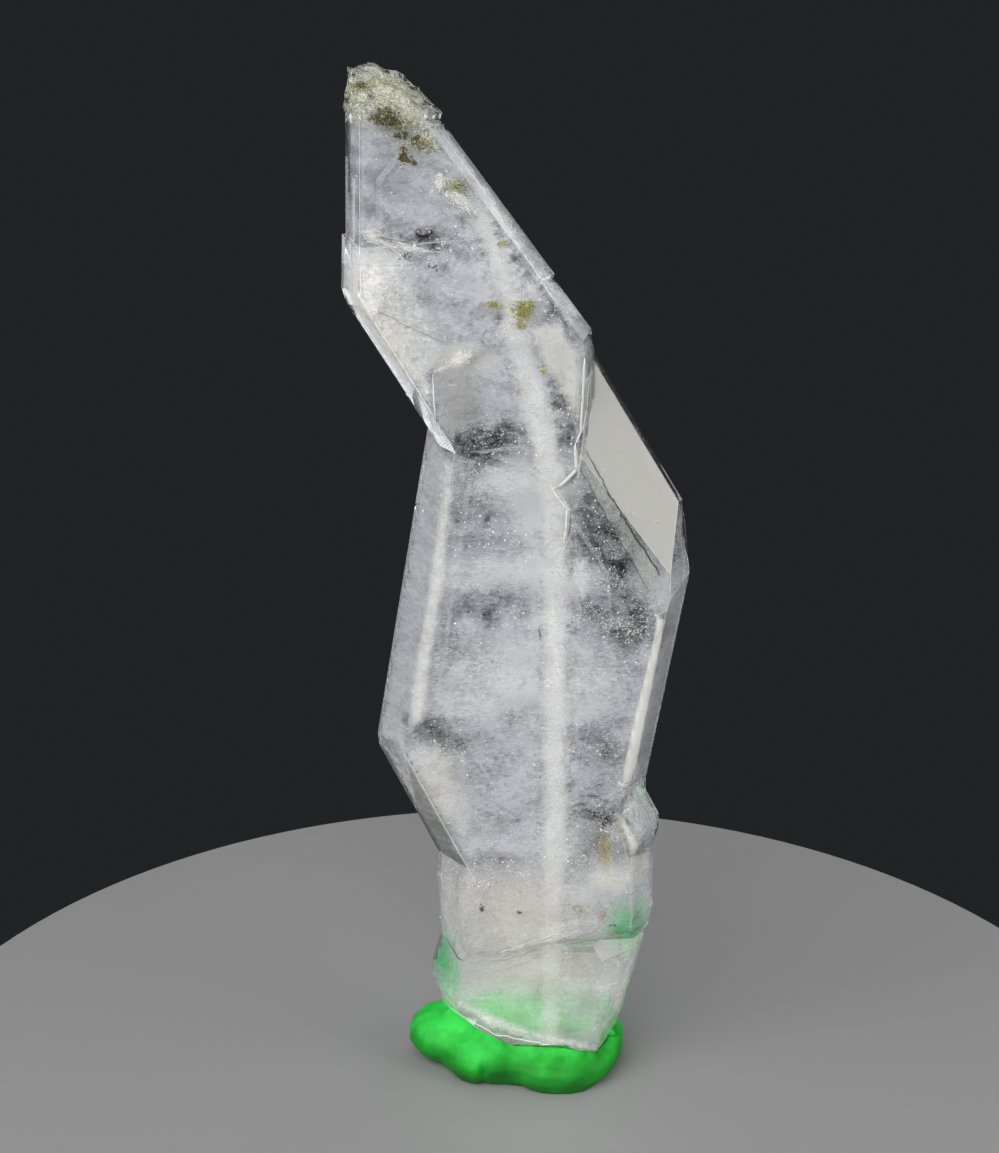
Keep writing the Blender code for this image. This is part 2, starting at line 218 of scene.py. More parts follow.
# %% The thread's line
# x, y, z in mm from the foot up, as in the part, then its faint end above
THREAD_LINE = [(2.45, 0.0, 1.9), (2.5, 0.0, 10.0), (2.6, 0.0, 20.3), (2.5, 0.0, 30.0),
               (2.5, -0.05, 36.5), (2.3, -0.4, 42.0), (1.5, -1.0, 46.8), (0.1, -1.35, 52.2),
               (-0.9, -1.4, 56.4), (-2.3, -1.4, 60.2)]
FAINT_END = [(-3.4, -1.4, 62.3), (-4.9, -1.4, 64.2)]


def on_curve(points, number, share):
    """A point of the smooth curve through these points, a share of the way along one span."""
    before, start = points[max(0, number - 1)], points[number]
    end, after = points[number + 1], points[min(len(points) - 1, number + 2)]
    bend = 2.0 * before - 5.0 * start + 4.0 * end - after
    curl = 3.0 * start - before - 3.0 * end + after
    return start + 0.5 * share * ((end - before) + share * (bend + share * curl))


def smooth_line(points, spans):
    """The curve as a row of points, so many to each span."""
    points = [Vector(point) for point in points]
    line = [on_curve(points, n, k / spans) for n in range(len(points) - 1) for k in range(spans)]
    return line + [points[-1]]


whole_line = np.array(smooth_line(THREAD_LINE + FAINT_END, 12))


def thread_at(z):
    """The thread's point at height z, and its unit direction, in mm."""
    x, y = (np.interp(z, whole_line[:, 2], whole_line[:, k]) for k in (0, 1))
    ahead, behind = (np.interp(z + s, whole_line[:, 2], whole_line[:, 0]) for s in (1.5, -1.5))
    slope = (ahead - behind) / 3
    length = math.hypot(slope, 1)
    return (x, y, z), (slope / length, 0, 1 / length)


print("thread from", THREAD_LINE[0], "to", THREAD_LINE[-1])

# %% [markdown]
# ## The clear crystal
#
# The CAD node is loose triangles with an open channel round the thread. In the real crystal clear
# quartz fills that channel, so a copy is merged, the channel's walls are taken out and the hole
# under the foot is closed. A crystal's edges are crisp but not knife sharp, and each catches a
# thin bright line: a bevel of a few hundredths of a millimetre gives that line.

# %% Crystal faces
EDGE_BEVEL, BEVEL_ABOVE = 0.05 * MM, math.radians(14)
CHANNEL_RADIUS, WALL_FACING = 1.35, -0.4


def merged_copy(node):
    """A bmesh copy of a CAD node with its doubles merged."""
    bm = bmesh.new()
    bm.from_mesh(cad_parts[node].data)
    bmesh.ops.remove_doubles(bm, verts=bm.verts, dist=1e-6)
    return bm


def is_channel_wall(face, line):
    """True for a face that lies close round the thread's line and faces it."""
    centre = np.array(face.calc_center_median()) / MM
    away = centre - line
    distance = np.linalg.norm(away, axis=1)
    nearest = int(distance.argmin())
    facing = float(away[nearest] @ np.array(face.normal)) / max(distance[nearest], 1e-6)
    return distance[nearest] < CHANNEL_RADIUS and facing < WALL_FACING


def solid_crystal():
    """The crystal without the channel, its flat groups of triangles made single faces."""
    bm = merged_copy(CRYSTAL)
    below = [(THREAD_LINE[0][0], 0.0, z) for z in np.arange(-0.6, 1.9, 0.2)]
    line = np.concatenate([below, smooth_line(THREAD_LINE, 12)])
    walls = [face for face in bm.faces if is_channel_wall(face, line)]
    bmesh.ops.delete(bm, geom=walls, context="FACES")
    rim = [edge for edge in bm.edges if edge.is_boundary]
    lid = bmesh.ops.holes_fill(bm, edges=rim)["faces"]
    bmesh.ops.triangulate(bm, faces=lid)
    bmesh.ops.recalc_face_normals(bm, faces=bm.faces)
    print("channel walls taken out", len(walls), "rim edges", len(rim),
          "open edges left", sum(edge.is_boundary for edge in bm.edges))
    bmesh.ops.dissolve_limit(bm, angle_limit=math.radians(0.6), verts=bm.verts, edges=bm.edges)
    return bm


outer = solid_crystal()
inside_tree = BVHTree.FromBMesh(outer)
crystal_faces = [[tuple(vert.co) for vert in face.verts] for face in outer.faces]
crystal = add_mesh("clear_crystal", outer)
bevel = crystal.modifiers.new("edges", "BEVEL")
bevel.width, bevel.segments, bevel.limit_method = EDGE_BEVEL, 2, "ANGLE"
bevel.angle_limit = BEVEL_ABOVE
bevel.use_clamp_overlap = True


def made_plain(obj):
    """Turns the evaluated object into a plain mesh and takes its modifiers off."""
    graph = bpy.context.evaluated_depsgraph_get()
    mesh = bpy.data.meshes.new_from_object(obj.evaluated_get(graph), depsgraph=graph)
    obj.modifiers.clear()
    obj.data = mesh
    mesh.name = obj.name
    return obj


made_plain(crystal)
crystal.data.shade_flat()
crystal.visible_shadow = False
print("crystal faces", len(crystal.data.polygons))


# %% Depth below the crystal's surface
def depth(point):
    """How far this point (mm) lies inside the crystal, in mm, negative outside."""
    place, normal, _, distance = inside_tree.find_nearest(Vector(point) * MM)
    inside = (Vector(point) * MM - place).dot(normal) < 0
    return (distance if inside else -distance) / MM


def front_and_back(x, z):
    """The depths (mm) at which a line along Y enters and leaves the crystal, or None."""
    enter = inside_tree.ray_cast(Vector((x, -20, z)) * MM, Vector((0, 1, 0)))[0]
    leave = inside_tree.ray_cast(Vector((x, 20, z)) * MM, Vector((0, -1, 0)))[0]
    return None if enter is None or leave is None else (enter.y / MM, leave.y / MM)


# %% Clear quartz material
quartz, shader = new_material(
    "clear_quartz", Base_Color=(1, 1, 1, 1), Roughness=0.015, IOR=1.544, Transmission_Weight=1.0)
tree = quartz.node_tree
place = step(tree, "ShaderNodeTexCoord").outputs["Object"]
lines = step(tree, "ShaderNodeMapping", {"Vector": place, "Scale": (180, 180, 2600)})
growth = step(tree, "ShaderNodeTexNoise",
              {"Vector": lines.outputs[0], "Scale": 1.0, "Detail": 3.0}).outputs["Fac"]
bump = step(tree, "ShaderNodeBump", {"Strength": 0.12, "Distance": 0.02 * MM, "Height": growth})
tree.links.new(bump.outputs[0], shader.inputs["Normal"])
crystal.data.materials.clear()
crystal.data.materials.append(quartz)
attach(crystal, "root")
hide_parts(CRYSTAL)


# %% Helpers for Geometry Nodes
def new_tree(name, **sockets):
    """A geometry node tree with these named inputs (type, default), and its in and out nodes."""
    tree = bpy.data.node_groups.new(name, "GeometryNodeTree")
    for way in ("INPUT", "OUTPUT"):
        tree.interface.new_socket("Geometry", in_out=way, socket_type="NodeSocketGeometry")
    for title, (kind, value) in sockets.items():
        socket = tree.interface.new_socket(title.replace("_", " "), in_out="INPUT",
                                           socket_type="NodeSocket" + kind)
        if value is not None:
            socket.default_value = value
    return tree, step(tree, "NodeGroupInput"), step(tree, "NodeGroupOutput")


def use_tree(obj, tree, **values):
    """Puts the tree on an object with its inputs set by identifier. Returns the plain mesh."""
    modifier = obj.modifiers.new(tree.name, "NODES")
    modifier.node_group = tree
    for item in tree.interface.items_tree:
        key = item.name.replace(" ", "_")
        if item.item_type == "SOCKET" and item.in_out == "INPUT" and key in values:
            modifier[item.identifier] = values[key]
    graph = bpy.context.evaluated_depsgraph_get()
    mesh = bpy.data.meshes.new_from_object(obj.evaluated_get(graph), depsgraph=graph)
    name = obj.name
    bpy.data.objects.remove(obj)
    piece = bpy.data.objects.new(name, mesh)
    bpy.context.scene.collection.objects.link(piece)
    return piece


def points_object(name, **attributes):
    """Loose points in mm (place=...), each with vector or number attributes."""
    places = np.array(attributes.pop("place"), np.float32) * MM
    mesh = bpy.data.meshes.new(name)
    mesh.vertices.add(len(places))
    mesh.vertices.foreach_set("co", places.ravel())
    for key, values in attributes.items():
        values = np.array(values, np.float32)
        kind, field = ("FLOAT_VECTOR", "vector") if values.ndim == 2 else ("FLOAT", "value")
        mesh.attributes.new(key, kind, "POINT").data.foreach_set(field, values.ravel())
    obj = bpy.data.objects.new(name, mesh)
    bpy.context.scene.collection.objects.link(obj)
    return obj


def triangles(obj):
    return sum(len(p.vertices) - 2 for p in obj.data.polygons)


# %% A tree that turns points into slivers, flakes or grains
def scatter_tree(name, kind, **shape):
    """Puts a small shape on each point, along its own direction, at its own size."""
    tree, enter, leave = new_tree(name, Length_scale=("Float", 1.0), Width_scale=("Float", 1.0),
                                  Material=("Material", None))
    read = {}
    for key, kind_of in (("along", "FLOAT_VECTOR"), ("length", "FLOAT"), ("width", "FLOAT")):
        read[key] = step(tree, "GeometryNodeInputNamedAttribute", {"Name": key},
                         data_type=kind_of).outputs["Attribute"]
    turn = step(tree, "FunctionNodeAlignRotationToVector", {"Vector": read["along"]}, axis="Z")
    wide = math_step(tree, "MULTIPLY", read["width"], enter.outputs["Width scale"])
    long = math_step(tree, "MULTIPLY", read["length"], enter.outputs["Length scale"])
    scale = step(tree, "ShaderNodeCombineXYZ", {"X": wide, "Y": wide, "Z": long})
    placed = step(tree, "GeometryNodeInstanceOnPoints", {
        "Points": enter.outputs["Geometry"], "Instance": step(tree, kind, shape).outputs["Mesh"],
        "Rotation": turn.outputs[0], "Scale": scale.outputs[0]})
    real = step(tree, "GeometryNodeRealizeInstances", {"Geometry": placed.outputs[0]})
    painted = step(tree, "GeometryNodeSetMaterial", {"Geometry": real.outputs[0],
                                                     "Material": enter.outputs["Material"]})
    tree.links.new(painted.outputs[0], leave.inputs[0])
    return tree


SLIVERS = scatter_tree("slivers", "GeometryNodeMeshCone", Vertices=3, Depth=1.0,
                       **{"Radius Top": 0.0, "Radius Bottom": 0.5})
FLAKES = scatter_tree("flakes", "GeometryNodeMeshCylinder", Vertices=6, Radius=0.5, Depth=1.0)

# %% [markdown]
# ## Clouds
#
# Between the thread and the faces the crystal is crossed by countless fine fibres and rows of
# bubbles. From the front they read as milky, mottled clouds, with clear dark windows between
# them. A table of windows says where the quartz stays clear, and one of banks where it is whiter
# or has another tint. The green banks by the foot are painted reflection: the putty's green, seen
# through the quartz, laid into the clouds as a tint.

# %% How cloudy each place is
# centre x, z, half width, half height in mm, how clear (0 to 1)
WINDOWS = [
    (-2.6, 45.6, 1.5, 1.4, 0.85), (-0.6, 45.9, 2.0, 1.0, 0.75), (8.0, 33.0, 1.9, 1.6, 0.7),
    (6.2, 34.4, 2.2, 1.7, 0.6), (5.6, 24.9, 2.6, 1.1, 0.6), (-6.1, 26.6, 0.8, 0.6, 0.8),
    (-5.0, 25.7, 1.1, 0.6, 0.75), (-3.9, 24.9, 1.1, 0.5, 0.7), (-1.0, 16.9, 2.2, 0.6, 0.75),
    (5.2, 19.4, 1.5, 1.7, 0.8), (7.2, 17.6, 0.7, 1.3, 0.75), (4.6, 17.2, 0.9, 1.4, 0.6), (-5.6, 58.5, 2.6, 0.9, 0.75),
    (-4.6, 57.2, 0.5, 0.4, 0.6), (2.5, 49.8, 0.7, 1.4, 0.75), (3.1, 47.4, 0.8, 2.0, 0.75),
    (4.6, 41.6, 1.3, 2.4, 0.65), (5.8, 39.2, 1.8, 2.0, 0.75), (7.0, 37.2, 1.4, 1.3, 0.65),
    (-0.8, 39.4, 3.4, 1.0, 0.35), (-3.0, 41.6, 1.8, 1.2, 0.4), (-1.6, 34.6, 3.4, 0.8, 0.4),
    (0.6, 3.0, 9.0, 3.0, 0.62), (0.4, 57.9, 0.8, 1.3, 0.6), (2.4, 55.2, 0.9, 1.4, 0.65),
    (3.3, 53.2, 0.6, 0.9, 0.7), (-8.4, 62.5, 1.6, 1.2, 0.3), (5.0, 9.0, 2.4, 1.6, 0.4),
]
# centre x, z, half width, half height in mm, how much whiter, tint
BANKS = [
    (-9.0, 55.8, 1.4, 1.8, 0.5, "cream"), (-8.0, 52.5, 2.2, 2.4, 0.25, "cream"),
    (-3.6, 51.3, 1.7, 0.8, 0.9, "cream"), (1.0, 43.0, 3.5, 1.4, 0.25, "white"),
    (-1.0, 37.2, 5.0, 0.9, 0.3, "white"), (0.0, 29.5, 6.0, 2.5, 0.15, "white"),
    (1.2, 40.6, 1.2, 3.4, 0.35, "white"), (1.4, 34.8, 0.9, 1.2, 0.2, "white"),
    (-5.4, 21.8, 1.6, 2.8, 0.3, "cream"), (-7.6, 67.4, 3.0, 1.6, 0.15, "moss"),
    (-0.6, 13.2, 3.2, 2.6, 0.0, "rose"), (6.0, 17.6, 0.5, 1.1, 0.1, "rust"),
    # the green and pale green banks are painted reflection of the putty seen through the quartz
    (1.5, 9.4, 5.5, 4.0, 0.0, "cream"), (-4.8, 8.4, 0.9, 2.2, 0.45, "green"),
    (7.6, 11.2, 1.3, 2.0, 0.45, "green"), (0.8, 4.8, 6.0, 2.0, 0.3, "pale_green"),
    (6.2, 15.3, 1.4, 0.8, 0.35, "cream"),
]
# green and pale_green are painted reflection: the putty's colour as seen through the quartz
TINTS = {"blue": (0.66, 0.68, 0.73), "white": (0.76, 0.77, 0.795), "cream": (0.74, 0.735, 0.69),
         "moss": (0.6, 0.62, 0.46), "rose": (0.68, 0.63, 0.6), "rust": (0.42, 0.34, 0.2),
         "thread": (0.97, 0.97, 0.955), "smoke": (0.36, 0.36, 0.35), "bright": (0.9, 0.9, 0.88),
         "silk": (0.435, 0.435, 0.42), "green": (0.13, 0.5, 0.24), "pale_green": (0.6, 0.86, 0.64), "amber": (0.66, 0.5, 0.24),
         "stain": (0.5, 0.43, 0.22), "sage": (0.5, 0.52, 0.5), "slate": (0.18, 0.185, 0.18),
         "side": (0.52, 0.545, 0.57)}
PATCH_EDGE, GLOW_REACH, GLOW, THINNED = 0.5, 2.4, 0.25, 0.35


def patch(x, z, row, rough):
    """1 in the middle of an oval patch, 0 outside, with a soft edge made rough by a noise."""
    away = math.hypot((x - row[0]) / row[2], (z - row[1]) / row[3]) + rough
    return min(1.0, max(0.0, (1 + PATCH_EDGE - away) / (2 * PATCH_EDGE)))


def cloudiness(x, y, z):
    """From 0, clear, to 1 or more, milky, at a place in mm."""
    (tx, _, _), (dx, _, dz) = thread_at(z)
    across, up = (x - tx) * dz, z - (x - tx) * dx
    streak = noise.noise(Vector((across * 0.2, y * 0.1, up * 0.7)))
    wisp = noise.noise(Vector((across * 0.6 + 7, y * 0.1, up * 1.6)))
    amount = 0.68 + 0.35 * streak + 0.2 * wisp
    for row in BANKS:
        amount += row[4] * patch(x, z, row, 0.4 * wisp)
    for row in WINDOWS:
        amount *= 1 - row[4] * patch(x, z, row, 0.6 * wisp + 0.2 * streak)
    amount += GLOW * math.exp(-(across / GLOW_REACH) ** 2)
    amount *= 1 - THINNED * math.exp(-(across / (GLOW_REACH / 2)) ** 4)
    return min(1.3, max(0.0, amount))


def tint_at(x, z):
    """The cloud's colour: the bluish white, with the banks' tints laid over it."""
    colour = np.array(TINTS["blue"])
    for row in BANKS:
        colour += (np.array(TINTS[row[5]]) - colour) * patch(x, z, row, 0.0)
    return tuple(colour)


print("cloudiness by the thread", round(cloudiness(1.5, 0, 30), 2), "in a window",
      round(cloudiness(7.4, 0, 33.2), 2))

# %% [markdown]
# ## Veils
#
# The finest bubbles can't be told apart: they make soft milky veils inside the crystal. Each veil
# is a thin wavy sheet between the broad faces, placed by its share of the crystal's thickness.
# Its alpha comes from the cloudiness, kept per point, broken up by a noise in the material, so
# that a window's edge is ragged and not a drawn oval.

# %% Sheets with a haze, a tint and a plainness at each point
low, high = (np.array(corner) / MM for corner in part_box(CRYSTAL))


def new_sheets():
    return {"verts": [], "faces": [], "haze": [], "plain": [], "tint": []}


def add_point(sheets, place, haze, plain, tint):
    """One point of a sheet, in mm. Returns its number."""
    sheets["verts"].append(Vector(place) * MM)
    sheets["haze"].append(haze)
    sheets["plain"].append(plain)
    sheets["tint"].extend((*tint, 1.0))
    return len(sheets["verts"]) - 1


def sheets_object(name, sheets, material):
    """Turns the collected sheets into one object that rides on the root."""
    mesh = bpy.data.meshes.new(name)
    mesh.from_pydata(sheets["verts"], [], sheets["faces"])
    for key in ("haze", "plain"):
        mesh.attributes.new(key, "FLOAT", "POINT").data.foreach_set("value", sheets[key])
    tints = mesh.attributes.new("tint", "FLOAT_COLOR", "POINT")
    tints.data.foreach_set("color", sheets["tint"])
    mesh.shade_smooth()
    mesh.materials.append(material)
    obj = bpy.data.objects.new(name, mesh)
    bpy.context.scene.collection.objects.link(obj)
    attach(obj, "root")
    print(name, "faces", len(mesh.polygons))
    return obj


# %% Veil material
MOTTLE, CLOUD_SCALE, GRAIN_SCALE, GRAIN_SHARE = 2.2, (800, 120, 1250), (3000, 250, 4300), 0.85


def stretched_noise(tree, place, scale, detail, roughness=0.55, distortion=0.0):
    """A noise with its own scale along X, Y and Z, in cells to the metre."""
    mapped = step(tree, "ShaderNodeMapping", {"Vector": place, "Scale": scale})
    return step(tree, "ShaderNodeTexNoise", {
        "Vector": mapped.outputs[0], "Scale": 1.0, "Detail": detail,
        "Roughness": roughness, "Distortion": distortion}).outputs["Fac"]


def shader_group(name, inputs, outputs):
    """A shader node group with these named sockets, and its in and out nodes."""
    group = bpy.data.node_groups.new(name, "ShaderNodeTree")
    for way, sockets in (("INPUT", inputs), ("OUTPUT", outputs)):
        for title, kind in sockets.items():
            group.interface.new_socket(title, in_out=way, socket_type="NodeSocket" + kind)
    return group, step(group, "NodeGroupInput"), step(group, "NodeGroupOutput")


def haze_group():
    """A haze broken up by clouds and grain, as an alpha. Plainness 1 keeps it even."""
    group, enter, leave = shader_group(
        "broken_haze", {"Place": "Vector", "Haze": "Float", "Plain": "Float", "Most": "Float"},
        {"Alpha": "Float"})
    place, haze = enter.outputs["Place"], enter.outputs["Haze"]
    clouds = stretched_noise(group, place, CLOUD_SCALE, 7.0, 0.66, 0.5)
    grain = stretched_noise(group, place, GRAIN_SCALE, 4.0, 0.6)
    mixed = math_step(group, "MULTIPLY_ADD", grain, GRAIN_SHARE, clouds)
    swing = math_step(group, "SUBTRACT", mixed, 0.5 + GRAIN_SHARE / 2)
    swing = math_step(group, "MULTIPLY", swing, MOTTLE)
    swing = math_step(group, "MULTIPLY", swing,
                      math_step(group, "SUBTRACT", 1.0, enter.outputs["Plain"]))
    alpha = math_step(group, "ADD", haze, swing, clamp=True)
    alpha = math_step(group, "MULTIPLY", alpha, math_step(group, "GREATER_THAN", haze, 0.001))
    alpha = math_step(group, "MULTIPLY", alpha, enter.outputs["Most"])
    group.links.new(alpha, leave.inputs["Alpha"])
    return group


def haze_material(name, most):
    """A milky material whose alpha and colour come from a sheet's haze, plain and tint."""
    material, shader = new_material(name, Roughness=0.8, IOR=1.1)
    tree = material.node_tree
    read = {key: step(tree, "ShaderNodeAttribute", attribute_name=key)
            for key in ("haze", "plain", "tint")}
    broken = step(tree, "ShaderNodeGroup", node_tree=broken_haze)
    tree.links.new(step(tree, "ShaderNodeTexCoord").outputs["Object"], broken.inputs["Place"])
    tree.links.new(read["haze"].outputs["Fac"], broken.inputs["Haze"])
    tree.links.new(read["plain"].outputs["Fac"], broken.inputs["Plain"])
    broken.inputs["Most"].default_value = most
    tree.links.new(broken.outputs["Alpha"], shader.inputs["Alpha"])
    tree.links.new(read["tint"].outputs["Color"], shader.inputs["Base Color"])
    return material


broken_haze = haze_group()

# %% Veils
VEIL_CELL, VEIL_SHARES = 0.32, (0.14, 0.42, 0.74)
VEIL_FADE, VEIL_STEP, VEIL_WAVE, VEIL_MARGIN = 0.8, 0.4, 0.3, 0.1
# centre x, z, half width, half height in mm, how much smoother the haze is there
CALM = [(1.0, 6.0, 12.0, 9.0, 0.55), (-7.6, 62.6, 4.0, 2.6, 0.45), (-7.4, 54.6, 3.4, 3.0, 0.3)]


def veil_point(x, z, layer, share):
    """A veil's point at x, z: its depth y, or None where the crystal is too thin."""
    ends = front_and_back(x, z)
    if ends is None or ends[1] - ends[0] < 0.8:
        return None
    wave = VEIL_WAVE * noise.noise(Vector((x * 0.3, layer * 9.0, z * 0.5)))
    y = ends[0] + share * (ends[1] - ends[0]) + wave
    below = depth((x, y, z))
    return (y, below) if below > VEIL_MARGIN else None


veils = new_sheets()
for layer, share in enumerate(VEIL_SHARES):
    index = {}
    for i, x in enumerate(np.arange(low[0], high[0], VEIL_CELL)):
        for j, z in enumerate(np.arange(low[2], high[2], VEIL_CELL)):
            found = veil_point(x, z, layer, share)
            if found is not None:
                edge = 0.7 + 0.3 * min(1.0, (found[1] - VEIL_MARGIN) / VEIL_FADE)
                calm = max(row[4] * patch(x, z, row, 0.0) for row in CALM)
                plain = min(0.8, 2.4 * (1 - edge) + calm)
                index[i, j] = add_point(veils, (x, found[0], z), cloudiness(x, found[0], z) * edge,
                                        plain, tint_at(x, z))
    for i, j in index:
        corners = [index.get(c) for c in ((i, j), (i + 1, j), (i + 1, j + 1), (i, j + 1))]
        if None not in corners:
            depths = [veils["verts"][c].y for c in corners]
            if max(depths) - min(depths) < VEIL_STEP * MM:
                veils["faces"].append(corners)
sheets_object("cloud_veils", veils, haze_material("veil_white", 0.5))

# %% [markdown]
# ## Silky planes and a painted highlight
#
# Some faces and healed cracks aren't clear but silky, with a cream sheen. A silky facet is a copy
# of the crystal's own face, shrunk a little and laid just under it. A silky patch has an outline
# of its own with soft borders. The bright band along the foot's lower front edge is laid the same
# way, but it is a painted highlight: the edge catching the light.

# %% Silky facets
# x, z of a point on the facet; border left clear in mm; tint; haze; plainness; soft border
FACETS = {
    "right_facet": (7.2, 42.8, 0.28, "silk", 1.0, 1.0, 0.0),
    "facet_under_it": (7.3, 39.2, 0.1, "sage", 0.35, 0.3, 0.0),
    "lower_left_facet": (-5.6, 19.8, 0.1, "slate", 0.7, 0.4, 0.2),
    "left_side": (-7.9, 34.5, 0.08, "side", 0.6, 0.55, 0.3),
    "right_side": (9.2, 29.6, 0.08, "side", 0.65, 0.65, 0.2),
    "right_upper_side": (10.8, 38.5, 0.08, "side", 0.4, 0.5, 0.2),
}
PLANE_CELL, UNDER = 0.25, 0.1


def facet_outline(x, z, border):
    """The crystal's face at x, z in front, shrunk by a border, as points in mm."""
    place, _, number, _ = inside_tree.ray_cast(Vector((x, -20, z)) * MM, Vector((0, 1, 0)))
    bm = bmesh.new()
    corners = [bm.verts.new(Vector(corner)) for corner in crystal_faces[number]]
    face = bm.faces.new(corners)
    bmesh.ops.inset_individual(bm, faces=[face], thickness=border * MM, use_even_offset=True)
    face.normal_update()
    outline = [(vert.co.x / MM, vert.co.z / MM) for vert in face.verts]
    bm.free()
    return outline


def border_distance(x, z, outline):
    """How far a point lies from an outline's nearest edge."""
    point = Vector((x, z))
    nearest = 1e9
    for start, end in zip(outline, outline[1:] + outline[:1]):
        start, run = Vector(start), Vector(end) - Vector(start)
        share = min(1.0, max(0.0, (point - start).dot(run) / run.length_squared))
        nearest = min(nearest, (point - start - run * share).length)
    return nearest


def add_plane(sheets, outline, tint, haze, plain, soft):
    """One outline cut into small cells and laid under the crystal's front surface."""
    bm = bmesh.new()
    bm.faces.new([bm.verts.new((x, 0, z)) for x, z in outline])
    for axis, normal in ((0, (1, 0, 0)), (1, (0, 0, 1))):
        values = [point[axis] for point in outline]
        for cut in np.arange(min(values) + PLANE_CELL / 2, max(values), PLANE_CELL):
            bmesh.ops.bisect_plane(bm, geom=bm.verts[:] + bm.edges[:] + bm.faces[:],
                                   plane_co=Vector(normal) * cut, plane_no=normal)
    index = {}
    for vert in bm.verts:
        ends = front_and_back(vert.co.x, vert.co.z)
        if ends is not None and ends[1] - ends[0] > 2 * UNDER:
            fade = min(1.0, border_distance(vert.co.x, vert.co.z, outline) / soft) if soft else 1.0
            index[vert] = add_point(sheets, (vert.co.x, ends[0] + UNDER, vert.co.z), haze * fade,
                                    plain, TINTS[tint])
    for face in bm.faces:
        corners = [index.get(vert) for vert in face.verts]
        if None not in corners:
            sheets["faces"].append(corners)
    bm.free()


planes = new_sheets()
for x, z, border, tint, haze, plain, soft in FACETS.values():
    add_plane(planes, facet_outline(x, z, border), tint, haze, plain, soft)

# %% Silky patches
# outline x, z in mm; tint; haze; plainness; width of the soft border
PATCHES = {
    "by_the_thread": ([(0.6, 53.6), (2.6, 53.8), (4.0, 51.8), (4.0, 48.3), (3.7, 46.9), (2.7, 49.0),
                       (2.0, 50.4), (1.2, 51.8)], "cream", 0.55, 0.8, 0.5),
    "left_wedge": ([(-9.8, 57.4), (-9.8, 55.3), (-9.1, 54.0), (-7.4, 51.2), (-5.4, 48.0),
                    (-5.3, 50.7), (-4.6, 52.0), (-5.0, 53.7), (-6.2, 56.1), (-7.4, 57.5)],
                   "white", 0.4, 0.45, 0.7),
    "wedge_top": ([(-9.85, 57.3), (-9.8, 55.3), (-9.2, 54.0), (-8.2, 54.4), (-8.0, 56.2),
                   (-8.6, 57.4)], "bright", 0.75, 0.1, 0.5),
    "wedge_rim": ([(-9.2, 54.2), (-7.4, 51.2), (-5.4, 48.0), (-5.3, 50.2), (-6.4, 51.6),
                   (-7.9, 53.8)], "cream", 0.5, 0.5, 0.5),
    "smoky_window": ([(-5.4, 50.6), (-4.9, 51.0), (-2.2, 51.1), (-2.0, 49.0), (-2.8, 46.6),
                      (-5.1, 46.2), (-5.3, 48.0)], "smoke", 0.6, 0.8, 1.0),
    "left_border": ([(-4.9, 45.0), (-3.9, 45.0), (-4.2, 41.0), (-4.7, 36.4), (-5.6, 30.9),
                     (-6.1, 27.2), (-7.5, 25.9), (-7.0, 30.5), (-5.9, 36.8), (-5.3, 42.1)],
                    "bright", 0.5, 0.75, 0.45),
    "left_triangle": ([(-7.4, 25.5), (-6.3, 26.3), (-4.2, 23.6), (-2.7, 20.4), (-3.3, 18.2),
                       (-5.2, 20.6), (-6.5, 23.2)], "white", 0.32, 0.6, 0.8),
    "facet_band": ([(3.5, 45.3), (4.3, 45.6), (9.3, 37.2), (9.2, 36.2), (8.5, 36.3), (6.0, 40.7)],
                   "sage", 0.35, 0.6, 0.12),
    "cloud_by_thread": ([(3.4, 38.9), (4.6, 38.6), (4.8, 36.4), (4.2, 35.6), (3.3, 37.0)],
                        "white", 0.5, 0.5, 0.4),
    "right_strip": ([(9.05, 34.8), (9.75, 34.2), (9.5, 32.4), (8.45, 25.3), (7.7, 22.4), (7.05, 22.9),
                     (7.1, 23.9), (7.75, 27.6), (8.85, 32.7)], "bright", 0.92, 0.85, 0.15),
    "stain": ([(5.5, 18.9), (6.2, 19.1), (6.6, 17.6), (6.4, 16.2), (5.9, 15.9), (5.5, 17.3)],
              "stain", 0.55, 0.3, 0.5),
    "foot_bar": ([(6.2, 20.9), (6.9, 20.7), (8.35, 18.4), (8.2, 17.0), (7.75, 15.4), (7.3, 15.6),
                  (7.65, 17.3), (7.55, 18.3)], "cream", 0.8, 0.55, 0.25),
    "notch_rim": ([(7.6, 21.5), (8.2, 21.3), (9.5, 19.2), (9.3, 17.4), (8.5, 17.2), (8.6, 18.6)],
                  "side", 0.6, 0.45, 0.3),
    "amber_rim": ([(8.35, 17.5), (8.8, 17.5), (8.9, 15.2), (8.4, 15.0)], "amber", 0.55, 0.5, 0.25),
    "base_glint": ([(6.6, 5.2), (7.0, 7.5), (7.9, 8.8), (8.3, 8.8), (7.7, 5.8), (7.1, 4.2)],
                   "bright", 0.9, 0.0, 0.3),
    "crack_band": ([(-3.4, 9.6), (-1.8, 9.9), (0.6, 10.6), (3.6, 11.9), (6.2, 12.6), (6.2, 13.4),
                    (3.4, 12.8), (0.2, 11.8), (-2.6, 10.6)], "white", 0.35, 0.4, 0.6),
    # painted highlight: the bright band along the foot's lower front edge
    "foot_rim_highlight": ([(-4.2, 6.2), (-2.2, 4.2), (1.0, 3.1), (4.0, 2.5), (6.6, 1.9), (6.8, 2.6),
                  (3.8, 3.6), (1.0, 4.2), (-2.2, 5.6)], "bright", 0.7, 0.6, 0.7),
    "left_shard": ([(-5.2, 15.6), (-4.4, 15.2), (-3.4, 11.6), (-3.2, 8.4), (-4.0, 8.0),
                    (-4.6, 11.4)], "sage", 0.35, 0.5, 0.4),
}
